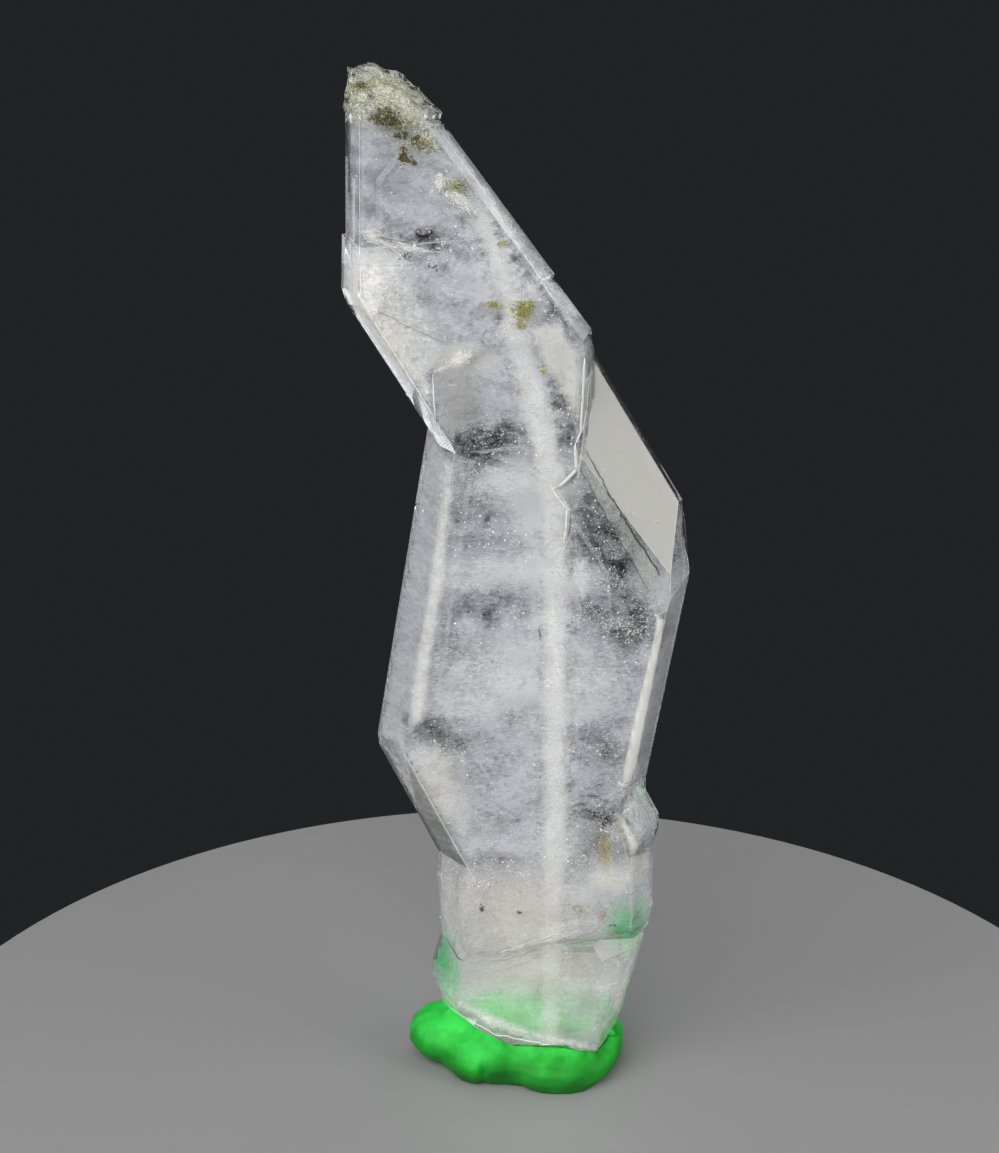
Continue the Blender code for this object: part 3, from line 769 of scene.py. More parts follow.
for outline, tint, haze, plain, soft in PATCHES.values():
    add_plane(planes, outline, tint, haze, plain, soft)
sheets_object("silky_planes", planes, haze_material("silky_white", 0.85))

# %% [markdown]
# ## Fibres
#
# Over the veils lie single fibres that can be seen: thin straight slivers that cross the crystal
# at right angles to the thread. Each is a cone of four triangles, placed by Geometry Nodes.

# %% Fibres
FIBRES, FIBRE_MARGIN = 26000, 0.15
rng = np.random.default_rng(11)


def scatter(count, keep, margin):
    """Random places (mm) inside the crystal, kept with the chance that keep(x, y, z) gives."""
    found = []
    while len(found) < count:
        for x, y, z in rng.uniform(low, high, (4000, 3)):
            if rng.random() < keep(x, y, z) and depth((x, y, z)) > margin:
                found.append((x, y, z))
    return found[:count]


def fibre_rows(places, longest, thickest):
    """Rows of place, direction, length and width for fibres that stay inside the crystal."""
    rows = {"place": [], "along": [], "length": [], "width": []}
    for place in places:
        _, (dx, _, dz) = thread_at(place[2])
        direction = Vector((dz, rng.normal(0, 0.3), -dx + rng.normal(0, 0.18))).normalized()
        reach = longest * rng.uniform(0.2, 1.0) ** 1.5
        ends = [Vector(place) + direction * reach * side / 2 for side in (-1, 1)]
        if min(depth(end) for end in ends) < 0.05:
            continue
        rows["place"].append(place)
        rows["along"].append(tuple(direction))
        rows["length"].append(reach * MM)
        rows["width"].append(thickest * rng.uniform(0.4, 1.0) * MM)
    return rows


fibre_white, shader = new_material("fibre_white", Base_Color=(0.86, 0.88, 0.92, 1), Roughness=0.6,
                                   IOR=1.2)


def fibre_chance(x, y, z):
    """Fibres are many in the clouds, few in the foot, and none right in front of the thread."""
    before_thread = y < thread_at(z)[0][1] and abs(x - thread_at(z)[0][0]) < 1.0
    return 0.0 if before_thread else cloudiness(x, y, z) ** 2 * (0.15 if z < 14 else 1.0)


places = scatter(FIBRES, fibre_chance, FIBRE_MARGIN)
fibres = use_tree(points_object("cloud_fibres", **fibre_rows(places, 0.5, 0.024)), SLIVERS,
                  Material=fibre_white)
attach(fibres, "root")
print("fibre triangles", triangles(fibres))

# %% [markdown]
# ## The thread
#
# The thread itself is a dense bundle of bubbles and crushed fibres: white, soft at its edges and
# never quite even. Geometry Nodes carry a round profile along its line, roughen it, and stand
# short fibres on it, so its edges fade into the clear quartz.

# %% Thread
CORE_RADIUS = 0.3
# height z in mm, share of the thread's full width, how milky its soft border is
THREAD_SHARES = [(1.9, 0.6, 0.45), (12.0, 0.7, 0.55), (19.0, 1.0, 1.0), (45.0, 1.0, 1.0),
                 (51.5, 0.9, 0.85), (56.0, 0.6, 0.5), (60.2, 0.35, 0.35), (64.2, 0.2, 0.05)]


def thread_share(z, column):
    """A column of the table at height z: 1 for the width, 2 for the border."""
    heights, values = ([row[k] for row in THREAD_SHARES] for k in (0, column))
    return float(np.interp(z, heights, values))


def thread_tree():
    """A rough tube along a curve, with short slivers standing on it."""
    tree, enter, leave = new_tree(
        "faden", Core_radius=("Float", 0.0004), Sides=("Int", 14), Roughness=("Float", 0.0001),
        Fuzz_length=("Float", 0.0005), Fuzz_width=("Float", 0.00004),
        Fuzz_density=("Float", 1e8), Seed=("Int", 0), Material=("Material", None))
    ring = step(tree, "GeometryNodeCurvePrimitiveCircle",
                {"Resolution": enter.outputs["Sides"], "Radius": enter.outputs["Core radius"]})
    tube = step(tree, "GeometryNodeCurveToMesh", {
        "Curve": enter.outputs["Geometry"], "Profile Curve": ring.outputs[0], "Fill Caps": True,
        "Scale": step(tree, "GeometryNodeInputRadius").outputs[0]})
    wave = step(tree, "ShaderNodeTexNoise", {"Scale": 900.0, "Detail": 3.0}).outputs["Fac"]
    height = math_step(tree, "MULTIPLY", math_step(tree, "SUBTRACT", wave, 0.5),
                       enter.outputs["Roughness"])
    normal = step(tree, "GeometryNodeInputNormal").outputs[0]
    move = step(tree, "ShaderNodeVectorMath", {0: normal, "Scale": height}, operation="SCALE")
    rough = step(tree, "GeometryNodeSetPosition", {"Geometry": tube.outputs[0],
                                                   "Offset": move.outputs[0]})
    spread = step(tree, "GeometryNodeDistributePointsOnFaces", {
        "Mesh": rough.outputs[0], "Density": enter.outputs["Fuzz density"],
        "Seed": enter.outputs["Seed"]})
    cone = step(tree, "GeometryNodeMeshCone", {"Vertices": 3, "Radius Top": 0.0,
                                               "Radius Bottom": 0.5, "Depth": 1.0})
    chance = step(tree, "FunctionNodeRandomValue", {2: 0.1, 3: 1.0, "Seed": 3}).outputs[1]
    long = math_step(tree, "MULTIPLY", math_step(tree, "POWER", chance, 1.5),
                     enter.outputs["Fuzz length"])
    wide = enter.outputs["Fuzz width"]
    scale = step(tree, "ShaderNodeCombineXYZ", {"X": wide, "Y": wide, "Z": long})
    fuzz = step(tree, "GeometryNodeInstanceOnPoints", {
        "Points": spread.outputs["Points"], "Instance": cone.outputs["Mesh"],
        "Rotation": spread.outputs["Rotation"], "Scale": scale.outputs[0]})
    real = step(tree, "GeometryNodeRealizeInstances", {"Geometry": fuzz.outputs[0]})
    joined = step(tree, "GeometryNodeJoinGeometry")
    tree.links.new(rough.outputs[0], joined.inputs[0])
    tree.links.new(real.outputs[0], joined.inputs[0])
    painted = step(tree, "GeometryNodeSetMaterial", {"Geometry": joined.outputs[0],
                                                     "Material": enter.outputs["Material"]})
    tree.links.new(painted.outputs[0], leave.inputs[0])
    return tree


def curve_object(name, routes):
    """Poly curves, one for each route of (point in mm, radius factor) pairs."""
    curve = bpy.data.curves.new(name, "CURVE")
    curve.dimensions = "3D"
    for route in routes:
        spline = curve.splines.new("POLY")
        spline.points.add(len(route) - 1)
        for (place, radius), point in zip(route, spline.points):
            point.co = (*(Vector(place) * MM), 1)
            point.radius = radius
    obj = bpy.data.objects.new(name, curve)
    bpy.context.scene.collection.objects.link(obj)
    return obj


route = [(place, thread_share(place[2], 1)) for place in smooth_line(THREAD_LINE, 26)]
FADEN = thread_tree()
thread_white, shader = new_material("thread_white", Base_Color=(0.93, 0.93, 0.9, 1), Roughness=0.7,
                                    IOR=1.2)
thread = use_tree(curve_object("milky_thread", [route]), FADEN,
                  Core_radius=CORE_RADIUS * MM, Roughness=0.3 * MM, Fuzz_length=1.0 * MM,
                  Fuzz_width=0.04 * MM, Fuzz_density=1.6e8, Seed=5, Material=thread_white)
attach(thread, "root")
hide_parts(THREAD)
print("thread triangles", triangles(thread))

# %% The thread's soft borders
HALO_HALF_WIDTH, HALO_COLUMNS, HALO_REACH = 1.6, 17, 0.83
HALO_FRONTS, HALO_MARGIN = (0.6, 0.45, 0.3), 0.1

halo = new_sheets()
numbers = {}
for row, place in enumerate(smooth_line(THREAD_LINE + FAINT_END, 14)):
    _, (dx, _, dz) = thread_at(place[2])
    for column in range(HALO_COLUMNS):
        across = HALO_HALF_WIDTH * (2 * column / (HALO_COLUMNS - 1) - 1)
        spots = [(place[0] + across * dz, place[1] - front, place[2] - across * dx)
                 for front in HALO_FRONTS]
        spot = next((spot for spot in spots if depth(spot) > HALO_MARGIN), None)
        if spot:
            uneven = 1.0 + 0.35 * noise.noise(Vector((across * 1.5, 0, place[2] * 1.2)))
            middle = math.exp(-abs(across / HALO_REACH) ** 2.6)
            thick = thread_share(place[2], 2) * middle * uneven
            numbers[row, column] = add_point(halo, spot, max(0.002, thick), 0.3 + 0.55 * middle,
                                             TINTS["thread"])
for row, column in numbers:
    square = [(row, column), (row, column - 1), (row - 1, column - 1), (row - 1, column)]
    if all(corner in numbers for corner in square):
        halo["faces"].append([numbers[corner] for corner in square])
sheets_object("thread_halo", halo, haze_material("halo_white", 0.95))

# %% [markdown]
# ## Seams, hairlines and painted edge highlights
#
# Where two of the grown-together crystals step past each other, and where a crack has healed, a
# thin line shines white or stays dark. The white lines round some faces' outlines and along the
# foot's lower front edge are painted highlights: the crystal's edges catching the light. Each is a
# fine tube laid just under the surface along a few chosen points, made by the same tree as the
# thread.

# %% Seams
# points x, z in mm; radius; how far the line wavers
WHITE_SEAMS_AND_EDGE_HIGHLIGHTS = {
    "step_upper": ([(4.15, 51.6), (4.05, 49.0), (3.95, 46.9), (3.6, 46.1)], 0.07, 0.0),
    "step_middle": ([(3.6, 46.1), (3.72, 44.5), (2.6, 43.3), (2.15, 43.15)], 0.12, 0.0),
    "step_lower": ([(2.15, 43.15), (3.15, 41.8), (3.1, 40.4), (2.95, 39.6)], 0.06, 0.0),
    "outer_step": ([(4.7, 51.0), (4.45, 49.6), (4.35, 48.2), (4.0, 46.9)], 0.04, 0.0),
    "wedge_side": ([(-9.75, 57.3), (-9.75, 55.3), (-9.0, 53.9), (-7.3, 51.2), (-5.3, 47.9)],
                   0.03, 0.0),
    "upper_line": ([(-9.65, 66.2), (-9.7, 62.0), (-9.8, 57.8)], 0.02, 0.02),
    "window_side": ([(-5.35, 50.6), (-5.3, 49.0), (-5.15, 47.0)], 0.03, 0.0),
    "dash": ([(-4.4, 49.9), (-3.8, 49.9)], 0.03, 0.0),
    "base_crack": ([(-1.4, 10.1), (0.6, 10.9), (2.4, 11.5), (3.6, 11.8)], 0.02, 0.06),
    # painted highlight: the foot's lower front edge catching the light
    "foot_edge_highlight": ([(-3.4, 4.9), (-1.6, 3.7), (0.8, 3.2), (4.0, 2.5), (6.4, 1.9)], 0.04, 0.05),
    "top_ridge": ([(-4.6, 65.0), (-2.2, 61.8), (0.4, 57.9), (2.4, 54.9)], 0.025, 0.03),
    "corner_glint": ([(7.1, 22.7), (7.5, 22.2)], 0.12, 0.05),
    "thread_glint": ([(2.85, 32.5), (3.05, 32.35)], 0.09, 0.0),
    "thread_glint_b": ([(1.75, 39.5), (1.95, 39.8)], 0.06, 0.0),
}
DARK_HAIRLINES = {
    "wedge_line": ([(-8.7, 54.5), (-7.0, 53.6), (-5.4, 52.9), (-4.3, 52.4)], 0.015, 0.04),
    "beside_step": ([(3.4, 41.6), (3.35, 40.4), (3.2, 39.7)], 0.03, 0.0),
    "facet_foot": ([(4.3, 45.6), (6.0, 42.4), (8.0, 39.2), (9.3, 37.2)], 0.06, 0.07),
    "band_foot": ([(3.5, 45.3), (6.0, 40.7), (8.5, 36.3)], 0.018, 0.04),
    "black_hair": ([(1.4, 33.7), (1.55, 33.0)], 0.06, 0.0),
    "crack_shadow_a": ([(-2.1, 9.1), (0.3, 9.7), (3.0, 10.9), (5.6, 11.9)], 0.012, 0.08),
    "crack_shadow_b": ([(-1.6, 8.4), (0.3, 9.0), (2.0, 9.9)], 0.012, 0.06),
    "left_crack": ([(-5.0, 10.2), (-3.6, 9.2)], 0.04, 0.05),
}
GROWTH_RINGS = 5
for ring in range(GROWTH_RINGS):
    angles = [math.radians(angle) for angle in range(95, 200, 15)]
    reach = 1.3 + 0.13 * ring
    DARK_HAIRLINES["growth_ring_%d" % ring] = (
        [(-2.6 + 1.25 * reach * math.cos(a), 45.2 + reach * math.sin(a)) for a in angles], 0.015, 0.02)
# Painted highlights: thin white lines just inside these faces' outlines, as their edges catching the light.
for x, z, border in [(9.2, 29.6, 0.06), (10.8, 38.5, 0.06), (7.2, 42.8, 0.08),
                     (-5.6, 19.8, 0.06)]:
    outline = facet_outline(x, z, border)
    print("edge lines round the face at", (x, z), "corners", [(round(a, 1), round(b, 1))
                                                            for a, b in outline])
    WHITE_SEAMS_AND_EDGE_HIGHLIGHTS["edge_%.1f_%.1f" % (x, z)] = (outline + outline[:1], 0.012, 0.01)
SEAM_STEP, SEAM_UNDER = 0.2, 0.05
# three places of one noise, for the sway to the side, up and in
SWAY_LAYERS = (5.0, 25.3, 45.7)


def under_surface(x, z, below):
    """A place just under the front surface, or None beside the crystal."""
    ends = front_and_back(x, z)
    return None if ends is None else (x, ends[0] + below, z)


def seam_route(points, waver):
    """The line through the points (x, z), cut into short steps and laid under the surface."""
    route = []
    for (x0, z0), (x1, z1) in zip(points, points[1:]):
        steps = max(1, round(math.hypot(x1 - x0, z1 - z0) / SEAM_STEP))
        for n in range(steps + 1):
            x, z = x0 + (x1 - x0) * n / steps, z0 + (z1 - z0) * n / steps
            across, up, deeper = (2 * waver * noise.noise(Vector((x * 2.3, layer, z * 2.3)))
                                  for layer in SWAY_LAYERS)
            place = under_surface(x + across, z + up, SEAM_UNDER + abs(deeper))
            if place:
                route.append(place)
    last = len(route) - 1
    return [(place, min(1.0, 0.3 + n * 0.25, 0.3 + (last - n) * 0.25))
            for n, place in enumerate(route)]


def add_seams(name, table, material):
    """All the lines of one table as one object, each at its own radius."""
    routes = []
    for points, radius, waver in table.values():
        routes.append([(place, share * radius) for place, share in seam_route(points, waver)])
    seams = use_tree(curve_object(name, routes), FADEN, Core_radius=MM, Sides=6,
                     Roughness=0.03 * MM, Fuzz_length=0.0, Fuzz_width=0.0, Fuzz_density=0.0,
                     Material=material)
    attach(seams, "root")
    print(name, "triangles", triangles(seams))


seam_white, shader = new_material("seam_white", Base_Color=(0.93, 0.93, 0.91, 1), Roughness=0.5,
                                  IOR=1.3)
# The dark material colours the dark hairlines and the painted shadow streaks between the feathers.
dark_line_and_shadow, shader = new_material("hairline_dark", Base_Color=(0.07, 0.072, 0.075, 1),
                                 Roughness=0.6, IOR=1.3)
add_seams("white_seams", WHITE_SEAMS_AND_EDGE_HIGHLIGHTS, seam_white)
add_seams("dark_hairlines", DARK_HAIRLINES, dark_line_and_shadow)

# %% [markdown]
# ## Feathers
#
# A healed crack that meets the light looks like a feather: many short white streaks, all lying
# much the same way, dense in the middle and thin at the border. Dark streaks laid in the gaps
# between them are painted shadow.

# %% Feathers
# centre x, z; half width, half height; lean in degrees, how far leans differ; streaks; longest, width
FEATHERS = {
    "wisp": (-9.5, 59.3, 1.2, 0.3, -24, 10, 240, 1.5, 0.08),
    "wisp_mid": (-7.8, 58.6, 1.7, 0.2, -12, 8, 130, 1.2, 0.06),
    "wisp_end": (-6.0, 58.2, 1.2, 0.14, -2, 12, 50, 0.6, 0.04),
    "glint": (-3.7, 51.5, 0.7, 0.35, 20, 60, 420, 0.35, 0.085),
    "glint_tail": (-4.8, 50.9, 0.7, 0.12, 25, 20, 90, 0.4, 0.06),
    "upper_spray": (-3.7, 61.3, 1.1, 0.4, -38, 30, 320, 0.5, 0.065),
    "upper_spray_b": (-4.8, 62.3, 0.5, 0.45, -50, 30, 170, 0.5, 0.065),
    "tip": (-7.9, 67.2, 2.6, 1.3, 10, 70, 800, 0.45, 0.05),
    "tip_right": (-5.4, 65.0, 0.8, 0.7, -50, 50, 200, 0.4, 0.055),
    "tip_left": (-9.6, 67.0, 0.8, 1.0, 60, 60, 200, 0.4, 0.05),
    "slope": (1.8, 56.3, 1.8, 2.2, -55, 20, 140, 0.4, 0.045),
    "slope_corner": (3.2, 54.2, 0.8, 0.8, -40, 40, 80, 0.3, 0.05),
    "arc": (-6.2, 37.3, 2.0, 0.35, -16, 25, 110, 0.3, 0.045),
    "arc_middle": (-3.2, 36.6, 2.2, 0.3, -4, 25, 130, 0.3, 0.045),
    "arc_end": (-0.2, 36.9, 1.8, 0.35, 10, 25, 80, 0.3, 0.045),
    "crack": (1.4, 10.9, 3.0, 0.16, 17, 8, 200, 0.7, 0.04),
    "wedge": (-8.6, 55.6, 1.0, 1.4, 38, 35, 260, 0.35, 0.05),
    "window_mid": (-2.0, 46.4, 2.2, 1.2, 8, 40, 210, 0.18, 0.06),
    "window_right": (7.2, 33.8, 2.6, 1.4, 12, 45, 330, 0.2, 0.065),
    "window_glints": (7.6, 33.4, 1.4, 1.0, -20, 40, 60, 0.3, 0.11),
    "right_of_thread": (4.6, 34.6, 0.8, 1.6, 70, 40, 140, 0.22, 0.05),
    "under_facet": (5.6, 39.4, 1.4, 2.4, -52, 40, 170, 0.2, 0.055),
    "below_window": (6.2, 37.0, 0.9, 1.0, 75, 25, 80, 0.3, 0.05),
    "right_low": (6.0, 25.2, 2.2, 1.0, 5, 40, 130, 0.2, 0.05),
    "left_low": (-4.6, 25.6, 1.6, 0.7, -30, 40, 90, 0.2, 0.05),
    "band": (3.0, 48.4, 0.7, 2.0, -70, 40, 90, 0.2, 0.05),
    "top_bank": (-1.6, 43.6, 3.0, 1.0, -6, 18, 360, 0.32, 0.045),
    "bank_right": (4.0, 30.0, 3.4, 1.6, 4, 16, 200, 0.32, 0.045),
    "bank_left": (-3.0, 31.5, 3.0, 2.4, -4, 16, 200, 0.28, 0.045),
    "foot_glints": (-2.2, 15.4, 1.3, 0.4, 10, 60, 70, 0.2, 0.075),
    "foot_left": (-5.2, 14.6, 0.3, 0.5, 60, 50, 40, 0.22, 0.07),
    "foot_right": (4.3, 17.0, 0.7, 0.4, 20, 50, 50, 0.22, 0.07),
    "stain_top": (6.0, 19.8, 1.2, 1.0, -50, 40, 90, 0.2, 0.05),
    "base_glint": (7.4, 6.6, 0.6, 1.8, 65, 15, 110, 0.4, 0.05),
    "corner": (7.2, 22.6, 0.35, 0.5, 60, 50, 110, 0.25, 0.08),
    "left_edge": (-5.6, 44.2, 0.6, 1.4, 80, 30, 110, 0.35, 0.045),
    "by_the_cave": (1.6, 19.0, 0.5, 1.6, 80, 40, 60, 0.2, 0.055),
    "facet_scratches": (7.5, 41.3, 0.5, 0.12, -32, 25, 22, 0.3, 0.05),
    "facet_scratches_b": (9.0, 40.6, 0.4, 0.08, 15, 20, 14, 0.3, 0.045),
}
# Painted shadow: dark streaks laid in the gaps between the white ones, with the same columns
PAINTED_SHADOW_FEATHERS = {
    "wisp_gaps": (-8.6, 58.9, 1.8, 0.3, -18, 8, 70, 1.2, 0.045),
    "wedge_cracks": (-6.8, 54.4, 1.6, 1.0, -18, 25, 40, 0.7, 0.025),
    "wedge_side_gaps": (-8.8, 54.4, 0.8, 1.6, -50, 20, 40, 0.5, 0.03),
    "crack_gaps": (0.6, 10.3, 3.2, 0.5, 17, 8, 80, 0.8, 0.03),
    "window_gaps": (-1.8, 46.2, 2.0, 0.9, 8, 30, 110, 0.4, 0.06),
    "window_right_gaps": (7.4, 33.2, 1.8, 1.1, 8, 30, 120, 0.4, 0.06),
    "facet_gaps": (5.4, 39.8, 1.0, 2.4, -52, 25, 120, 0.4, 0.06),
    "arc_gaps": (-2.6, 35.9, 3.2, 0.4, -3, 15, 110, 0.4, 0.045),
    "low_gaps": (5.4, 24.9, 2.2, 0.8, 5, 25, 90, 0.35, 0.05),
    "triangle_gaps": (-4.9, 25.6, 1.6, 0.5, -28, 12, 90, 0.4, 0.05),
    "slope_gaps": (2.2, 55.6, 1.6, 1.8, -55, 20, 90, 0.35, 0.05),
    "tip_gaps": (-8.0, 67.0, 2.4, 1.0, 10, 60, 110, 0.3, 0.035),
    "foot_gaps": (5.6, 18.6, 1.4, 1.6, -60, 40, 110, 0.35, 0.05),
    "cave": (-1.4, 17.2, 1.6, 0.35, 6, 15, 60, 0.4, 0.05),
}


def add_feathers(name, table, material):
    """All the streaks of one table as one object, just under the front surface."""
    rows = {"place": [], "along": [], "length": [], "width": []}
    for x, z, half_width, half_height, lean, spread, count, longest, width in table.values():
        lean_x, lean_z = math.cos(math.radians(lean)), math.sin(math.radians(lean))
        for _ in range(count):
            out, side = rng.normal(0, 0.5) * half_width, rng.normal(0, 0.5) * half_height
            place = under_surface(x + out * lean_x - side * lean_z,
                                  z + out * lean_z + side * lean_x, 0.08 + abs(rng.normal(0, 0.12)))
            angle = math.radians(lean + rng.normal(0, spread))
            along = Vector((math.cos(angle), rng.normal(0, 0.12), math.sin(angle))).normalized()
            reach = longest * rng.uniform(0.25, 1.0) ** 1.3
            ends = [Vector(place) + along * reach * way / 2 for way in (-1, 1)] if place else []
            if ends and min(depth(end) for end in ends) > 0.02:
                rows["place"].append(place)
                rows["along"].append(tuple(along))
                rows["length"].append(reach * MM)
                rows["width"].append(width * rng.uniform(0.35, 1.1) ** 1.5 * MM)
    feathers = use_tree(points_object(name, **rows), SLIVERS, Material=material)
    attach(feathers, "root")
    print(name, "triangles", triangles(feathers))


add_feathers("white_feathers", FEATHERS, seam_white)
add_feathers("dark_feathers", PAINTED_SHADOW_FEATHERS, dark_line_and_shadow)

# %% [markdown]
# ## Grains of other minerals
#
# Small six-sided flakes of green chlorite sit in tufts near the top, a few yellow ones by the
# thread, and rust and dark grains in the foot. They grow in clumps, so each clump scatters its
# flakes closely round a few centres.

# %% Grains
# x, z, half width, half height in mm, number of flakes
GRAINS = {
    "green_chlorite": ((0.17, 0.15, 0.08), 0.12, [
        (-10.2, 68.6, 0.4, 0.1, 50), (-9.7, 68.0, 0.5, 0.15, 50), (-8.9, 67.4, 0.2, 0.35, 50),
        (-8.5, 66.2, 0.4, 0.3, 160), (-8.0, 66.5, 0.45, 0.2, 160), (-7.6, 66.1, 0.35, 0.3, 150),
        (-7.9, 65.8, 0.7, 0.12, 70), (-7.3, 65.1, 0.3, 0.12, 60), (-6.9, 65.1, 0.15, 0.25, 50),
        (-7.0, 64.0, 0.2, 0.4, 120), (-6.9, 63.7, 0.4, 0.15, 70), (-6.35, 63.5, 0.15, 0.15, 40),
        (-6.2, 64.9, 0.3, 0.2, 80), (-5.8, 64.6, 0.25, 0.3, 50), (-10.4, 67.2, 0.2, 0.25, 60)]),
    "pale_chlorite": ((0.6, 0.61, 0.42), 0.12, [
        (-10.3, 68.0, 0.7, 0.8, 160), (-8.6, 68.1, 1.3, 0.5, 180), (-8.1, 66.5, 1.1, 0.7, 160),
        (-5.7, 64.7, 0.9, 0.5, 240), (-6.6, 65.8, 0.8, 0.6, 90), (-3.9, 62.1, 0.6, 0.35, 240),
        (-10.3, 67.1, 0.4, 0.6, 60), (-7.0, 64.2, 0.5, 0.5, 50), (-5.2, 65.6, 0.6, 0.5, 70),
        (-4.2, 61.9, 0.5, 0.2, 90), (-9.4, 67.2, 0.8, 0.3, 90)]),
    "moss_chlorite": ((0.33, 0.33, 0.17), 0.12, [
        (-3.95, 62.1, 0.5, 0.25, 110), (-6.0, 64.7, 0.5, 0.35, 120), (-9.9, 68.0, 0.5, 0.3, 70),
        (-8.1, 66.3, 0.7, 0.5, 110), (-7.2, 65.6, 0.5, 0.3, 50)]),
    "yellow_chlorite": ((0.55, 0.53, 0.22), 0.11, [
        (-1.6, 54.9, 0.55, 0.22, 110), (0.25, 54.5, 0.6, 0.6, 380), (0.1, 53.6, 0.35, 0.25, 70),
        (0.7, 54.9, 0.4, 0.2, 70), (-1.1, 58.6, 0.3, 0.25, 40), (1.6, 50.8, 0.3, 0.2, 30)]),
    "rust_grains": ((0.42, 0.31, 0.13), 0.1, [
        (5.9, 12.9, 0.35, 0.5, 60), (4.2, 13.6, 0.5, 0.35, 30), (6.0, 17.8, 0.4, 1.1, 60),
        (6.8, 11.4, 0.4, 0.25, 24), (7.2, 9.6, 0.2, 0.8, 24)]),
    "dark_grains": ((0.05, 0.05, 0.045), 0.11, [
        (-2.4, 13.5, 0.16, 0.24, 26), (0.1, 13.2, 0.2, 0.1, 14), (-6.9, 57.9, 0.4, 0.25, 24),
        (-5.3, 57.2, 0.4, 0.2, 16), (5.9, 20.0, 0.45, 0.5, 40), (6.6, 12.2, 0.35, 0.12, 14),
        (7.4, 18.6, 0.3, 0.4, 20), (5.2, 20.6, 0.3, 0.3, 20)]),
}


def flake_rows(places, widths, thickness):
    """Rows for the flake tree: each flake faces its own way."""
    turns = rng.normal(0, 1, (len(places), 3))
    return {"place": places, "along": turns / np.linalg.norm(turns, axis=1)[:, None],
            "length": np.array(widths) * thickness * MM, "width": np.array(widths) * MM}


def add_grains(name, colour, size, clumps):
    """One object of flakes in clumps, just under the front surface."""
    places = []
    for x, z, wide, high, count in clumps:
        for _ in range(count):
            place = under_surface(x + rng.normal(0, wide / 2), z + rng.normal(0, high / 2),
                                  0.12 + abs(rng.normal(0, 0.2)))
            if place and depth(place) > size / 2:
                places.append(place)
    material, shader = new_material(name, Roughness=0.7, IOR=1.3)
    tree = material.node_tree
    tone = step(tree, "ShaderNodeTexNoise", {"Scale": 3000.0, "Vector": step(
        tree, "ShaderNodeTexCoord").outputs["Object"]}).outputs["Fac"]
    shades = ramp(tree, tone, (0.35, tuple(0.6 * c for c in colour)), (0.65, colour))
    tree.links.new(shades, shader.inputs["Base Color"])
    widths = size * rng.uniform(0.5, 1.2, len(places))
    grains = use_tree(points_object(name, **flake_rows(places, widths, 0.4)), FLAKES,
                      Material=material)
    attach(grains, "root")
    print(name, "triangles", triangles(grains))


for name, (colour, size, clumps) in GRAINS.items():
    add_grains(name, colour, size, clumps)

# %% Sparkles
SPARKLES, SPARKLE_SIZE, SPARKLE_FOOT = 1300, 0.14, 14.0


def near_window(x, z):
    """How much a place lies in one of the clear, dark windows."""
    return max(row[4] * patch(x, z, row, 0.0) for row in WINDOWS)


places = []
while len(places) < SPARKLES:
    x, z = rng.uniform(low[0], high[0]), rng.uniform(low[2], high[2])
    place = under_surface(x, z, rng.uniform(0.12, 0.5))
    wanted = (0.05 + 0.95 * near_window(x, z)) * (0.08 if z < SPARKLE_FOOT else 1.0)
    if place and rng.random() < wanted and depth(place) > 0.1:
        places.append(place)
sparkle, shader = new_material("sparkle_white", Base_Color=(1, 1, 1, 1), Roughness=0.3, IOR=1.4)
widths = SPARKLE_SIZE * rng.uniform(0.35, 1.0, SPARKLES) ** 3
sparkles = use_tree(points_object("sparkles", **flake_rows(places, widths, 0.3)), FLAKES,
                    Material=sparkle)
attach(sparkles, "root")
print("sparkle triangles", triangles(sparkles))

# %% [markdown]
# ## The putty
#
# The holder is a pinched lump of soft modelling putty. It keeps the CAD lump's shape, with the
# slow dents that fingers leave. Its green is painted darker towards the bottom, as shade.

# %% Putty
DENT, FINE_DENT, TOUCH, NEAR = 0.22, 0.07, 0.03, 0.7
# x, z, half width, half height and depth in mm of the folds and dimples in front
FOLDS = [(-2.3, 1.3, 0.5, 1.7, 0.55), (-5.5, 0.8, 0.45, 1.1, 0.3), (6.6, 3.0, 0.7, 0.9, 0.7),
         (-4.3, 2.6, 1.3, 0.35, 0.15), (2.2, 1.9, 2.0, 0.4, 0.2), (5.2, 1.2, 0.6, 0.9, 0.15)]

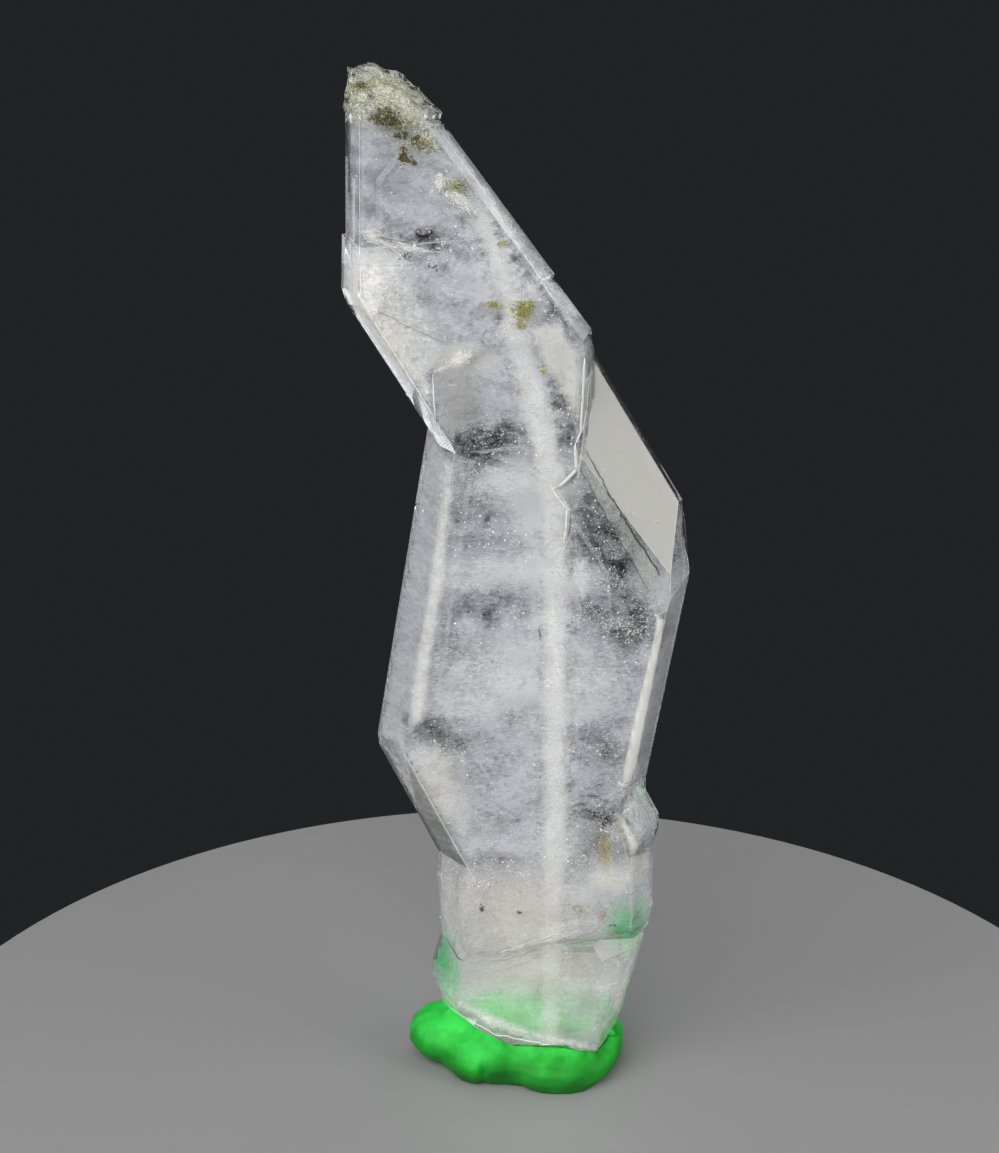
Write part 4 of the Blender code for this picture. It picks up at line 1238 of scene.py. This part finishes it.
bm = merged_copy(PUTTY)
bmesh.ops.subdivide_edges(bm, edges=bm.edges, cuts=3, use_grid_fill=True)
bmesh.ops.triangulate(bm, faces=bm.faces)
for _ in range(3):
    bmesh.ops.smooth_vert(bm, verts=[v for v in bm.verts if v.co.z > 0.3 * MM], factor=0.4,
                          use_axis_x=True, use_axis_y=True, use_axis_z=True)
bm.normal_update()
for vert in bm.verts:
    point = vert.co / MM
    dent = 0.5 + 0.5 * noise.noise(point * 0.5)
    fine = 0.5 + 0.5 * noise.noise(point * 1.9)
    sink = (DENT * dent + FINE_DENT * fine) * min(1.0, point.z / 0.8)
    if vert.normal.y < 0.2:
        for x, z, wide, tall, deep in FOLDS:
            sink += deep * max(0.0, 1 - math.hypot((point.x - x) / wide, (point.z - z) / tall))
    vert.co -= vert.normal * sink * MM
pressed = 0
for vert in bm.verts:
    place, _, _, distance = inside_tree.find_nearest(vert.co)
    if distance < NEAR * MM and depth(vert.co / MM) < 0:
        vert.co += (place - vert.co) * (1 - TOUCH * MM / max(distance, TOUCH * MM))
        pressed += 1
print("putty points pressed to the crystal", pressed)
lump = add_mesh("putty_lump", bm)
lump.data.shade_smooth()
putty, shader = new_material("green_putty_soft", Roughness=0.62)
tree = putty.node_tree
place = step(tree, "ShaderNodeTexCoord").outputs["Object"]
smear = step(tree, "ShaderNodeTexNoise", {"Vector": place, "Scale": 450.0, "Detail": 5.0})
# Painted shade: the green darkens towards the bottom of the lump, as the shade on its lower side.
up = step(tree, "ShaderNodeSeparateXYZ", {"Vector": place}).outputs["Z"]
height = step(tree, "ShaderNodeMapRange", {"Value": up, "From Min": 0.4 * MM, "From Max": 3.6 * MM,
                                           "To Min": -0.42, "To Max": 0.25}).outputs["Result"]
tone = math_step(tree, "ADD", smear.outputs["Fac"], height, clamp=True)
colour = ramp(tree, tone, (0.1, (0.003, 0.18, 0.01)), (0.45, (0.008, 0.45, 0.024)),
              (0.75, (0.04, 0.88, 0.1)))
tree.links.new(colour, shader.inputs["Base Color"])
bump = step(tree, "ShaderNodeBump", {"Strength": 0.25, "Distance": 0.05 * MM,
                                     "Height": smear.outputs["Fac"]})
tree.links.new(bump.outputs[0], shader.inputs["Normal"])
lump.data.materials.clear()
lump.data.materials.append(putty)
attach(lump, "root")
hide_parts(PUTTY)
print("putty triangles", len(lump.data.polygons))
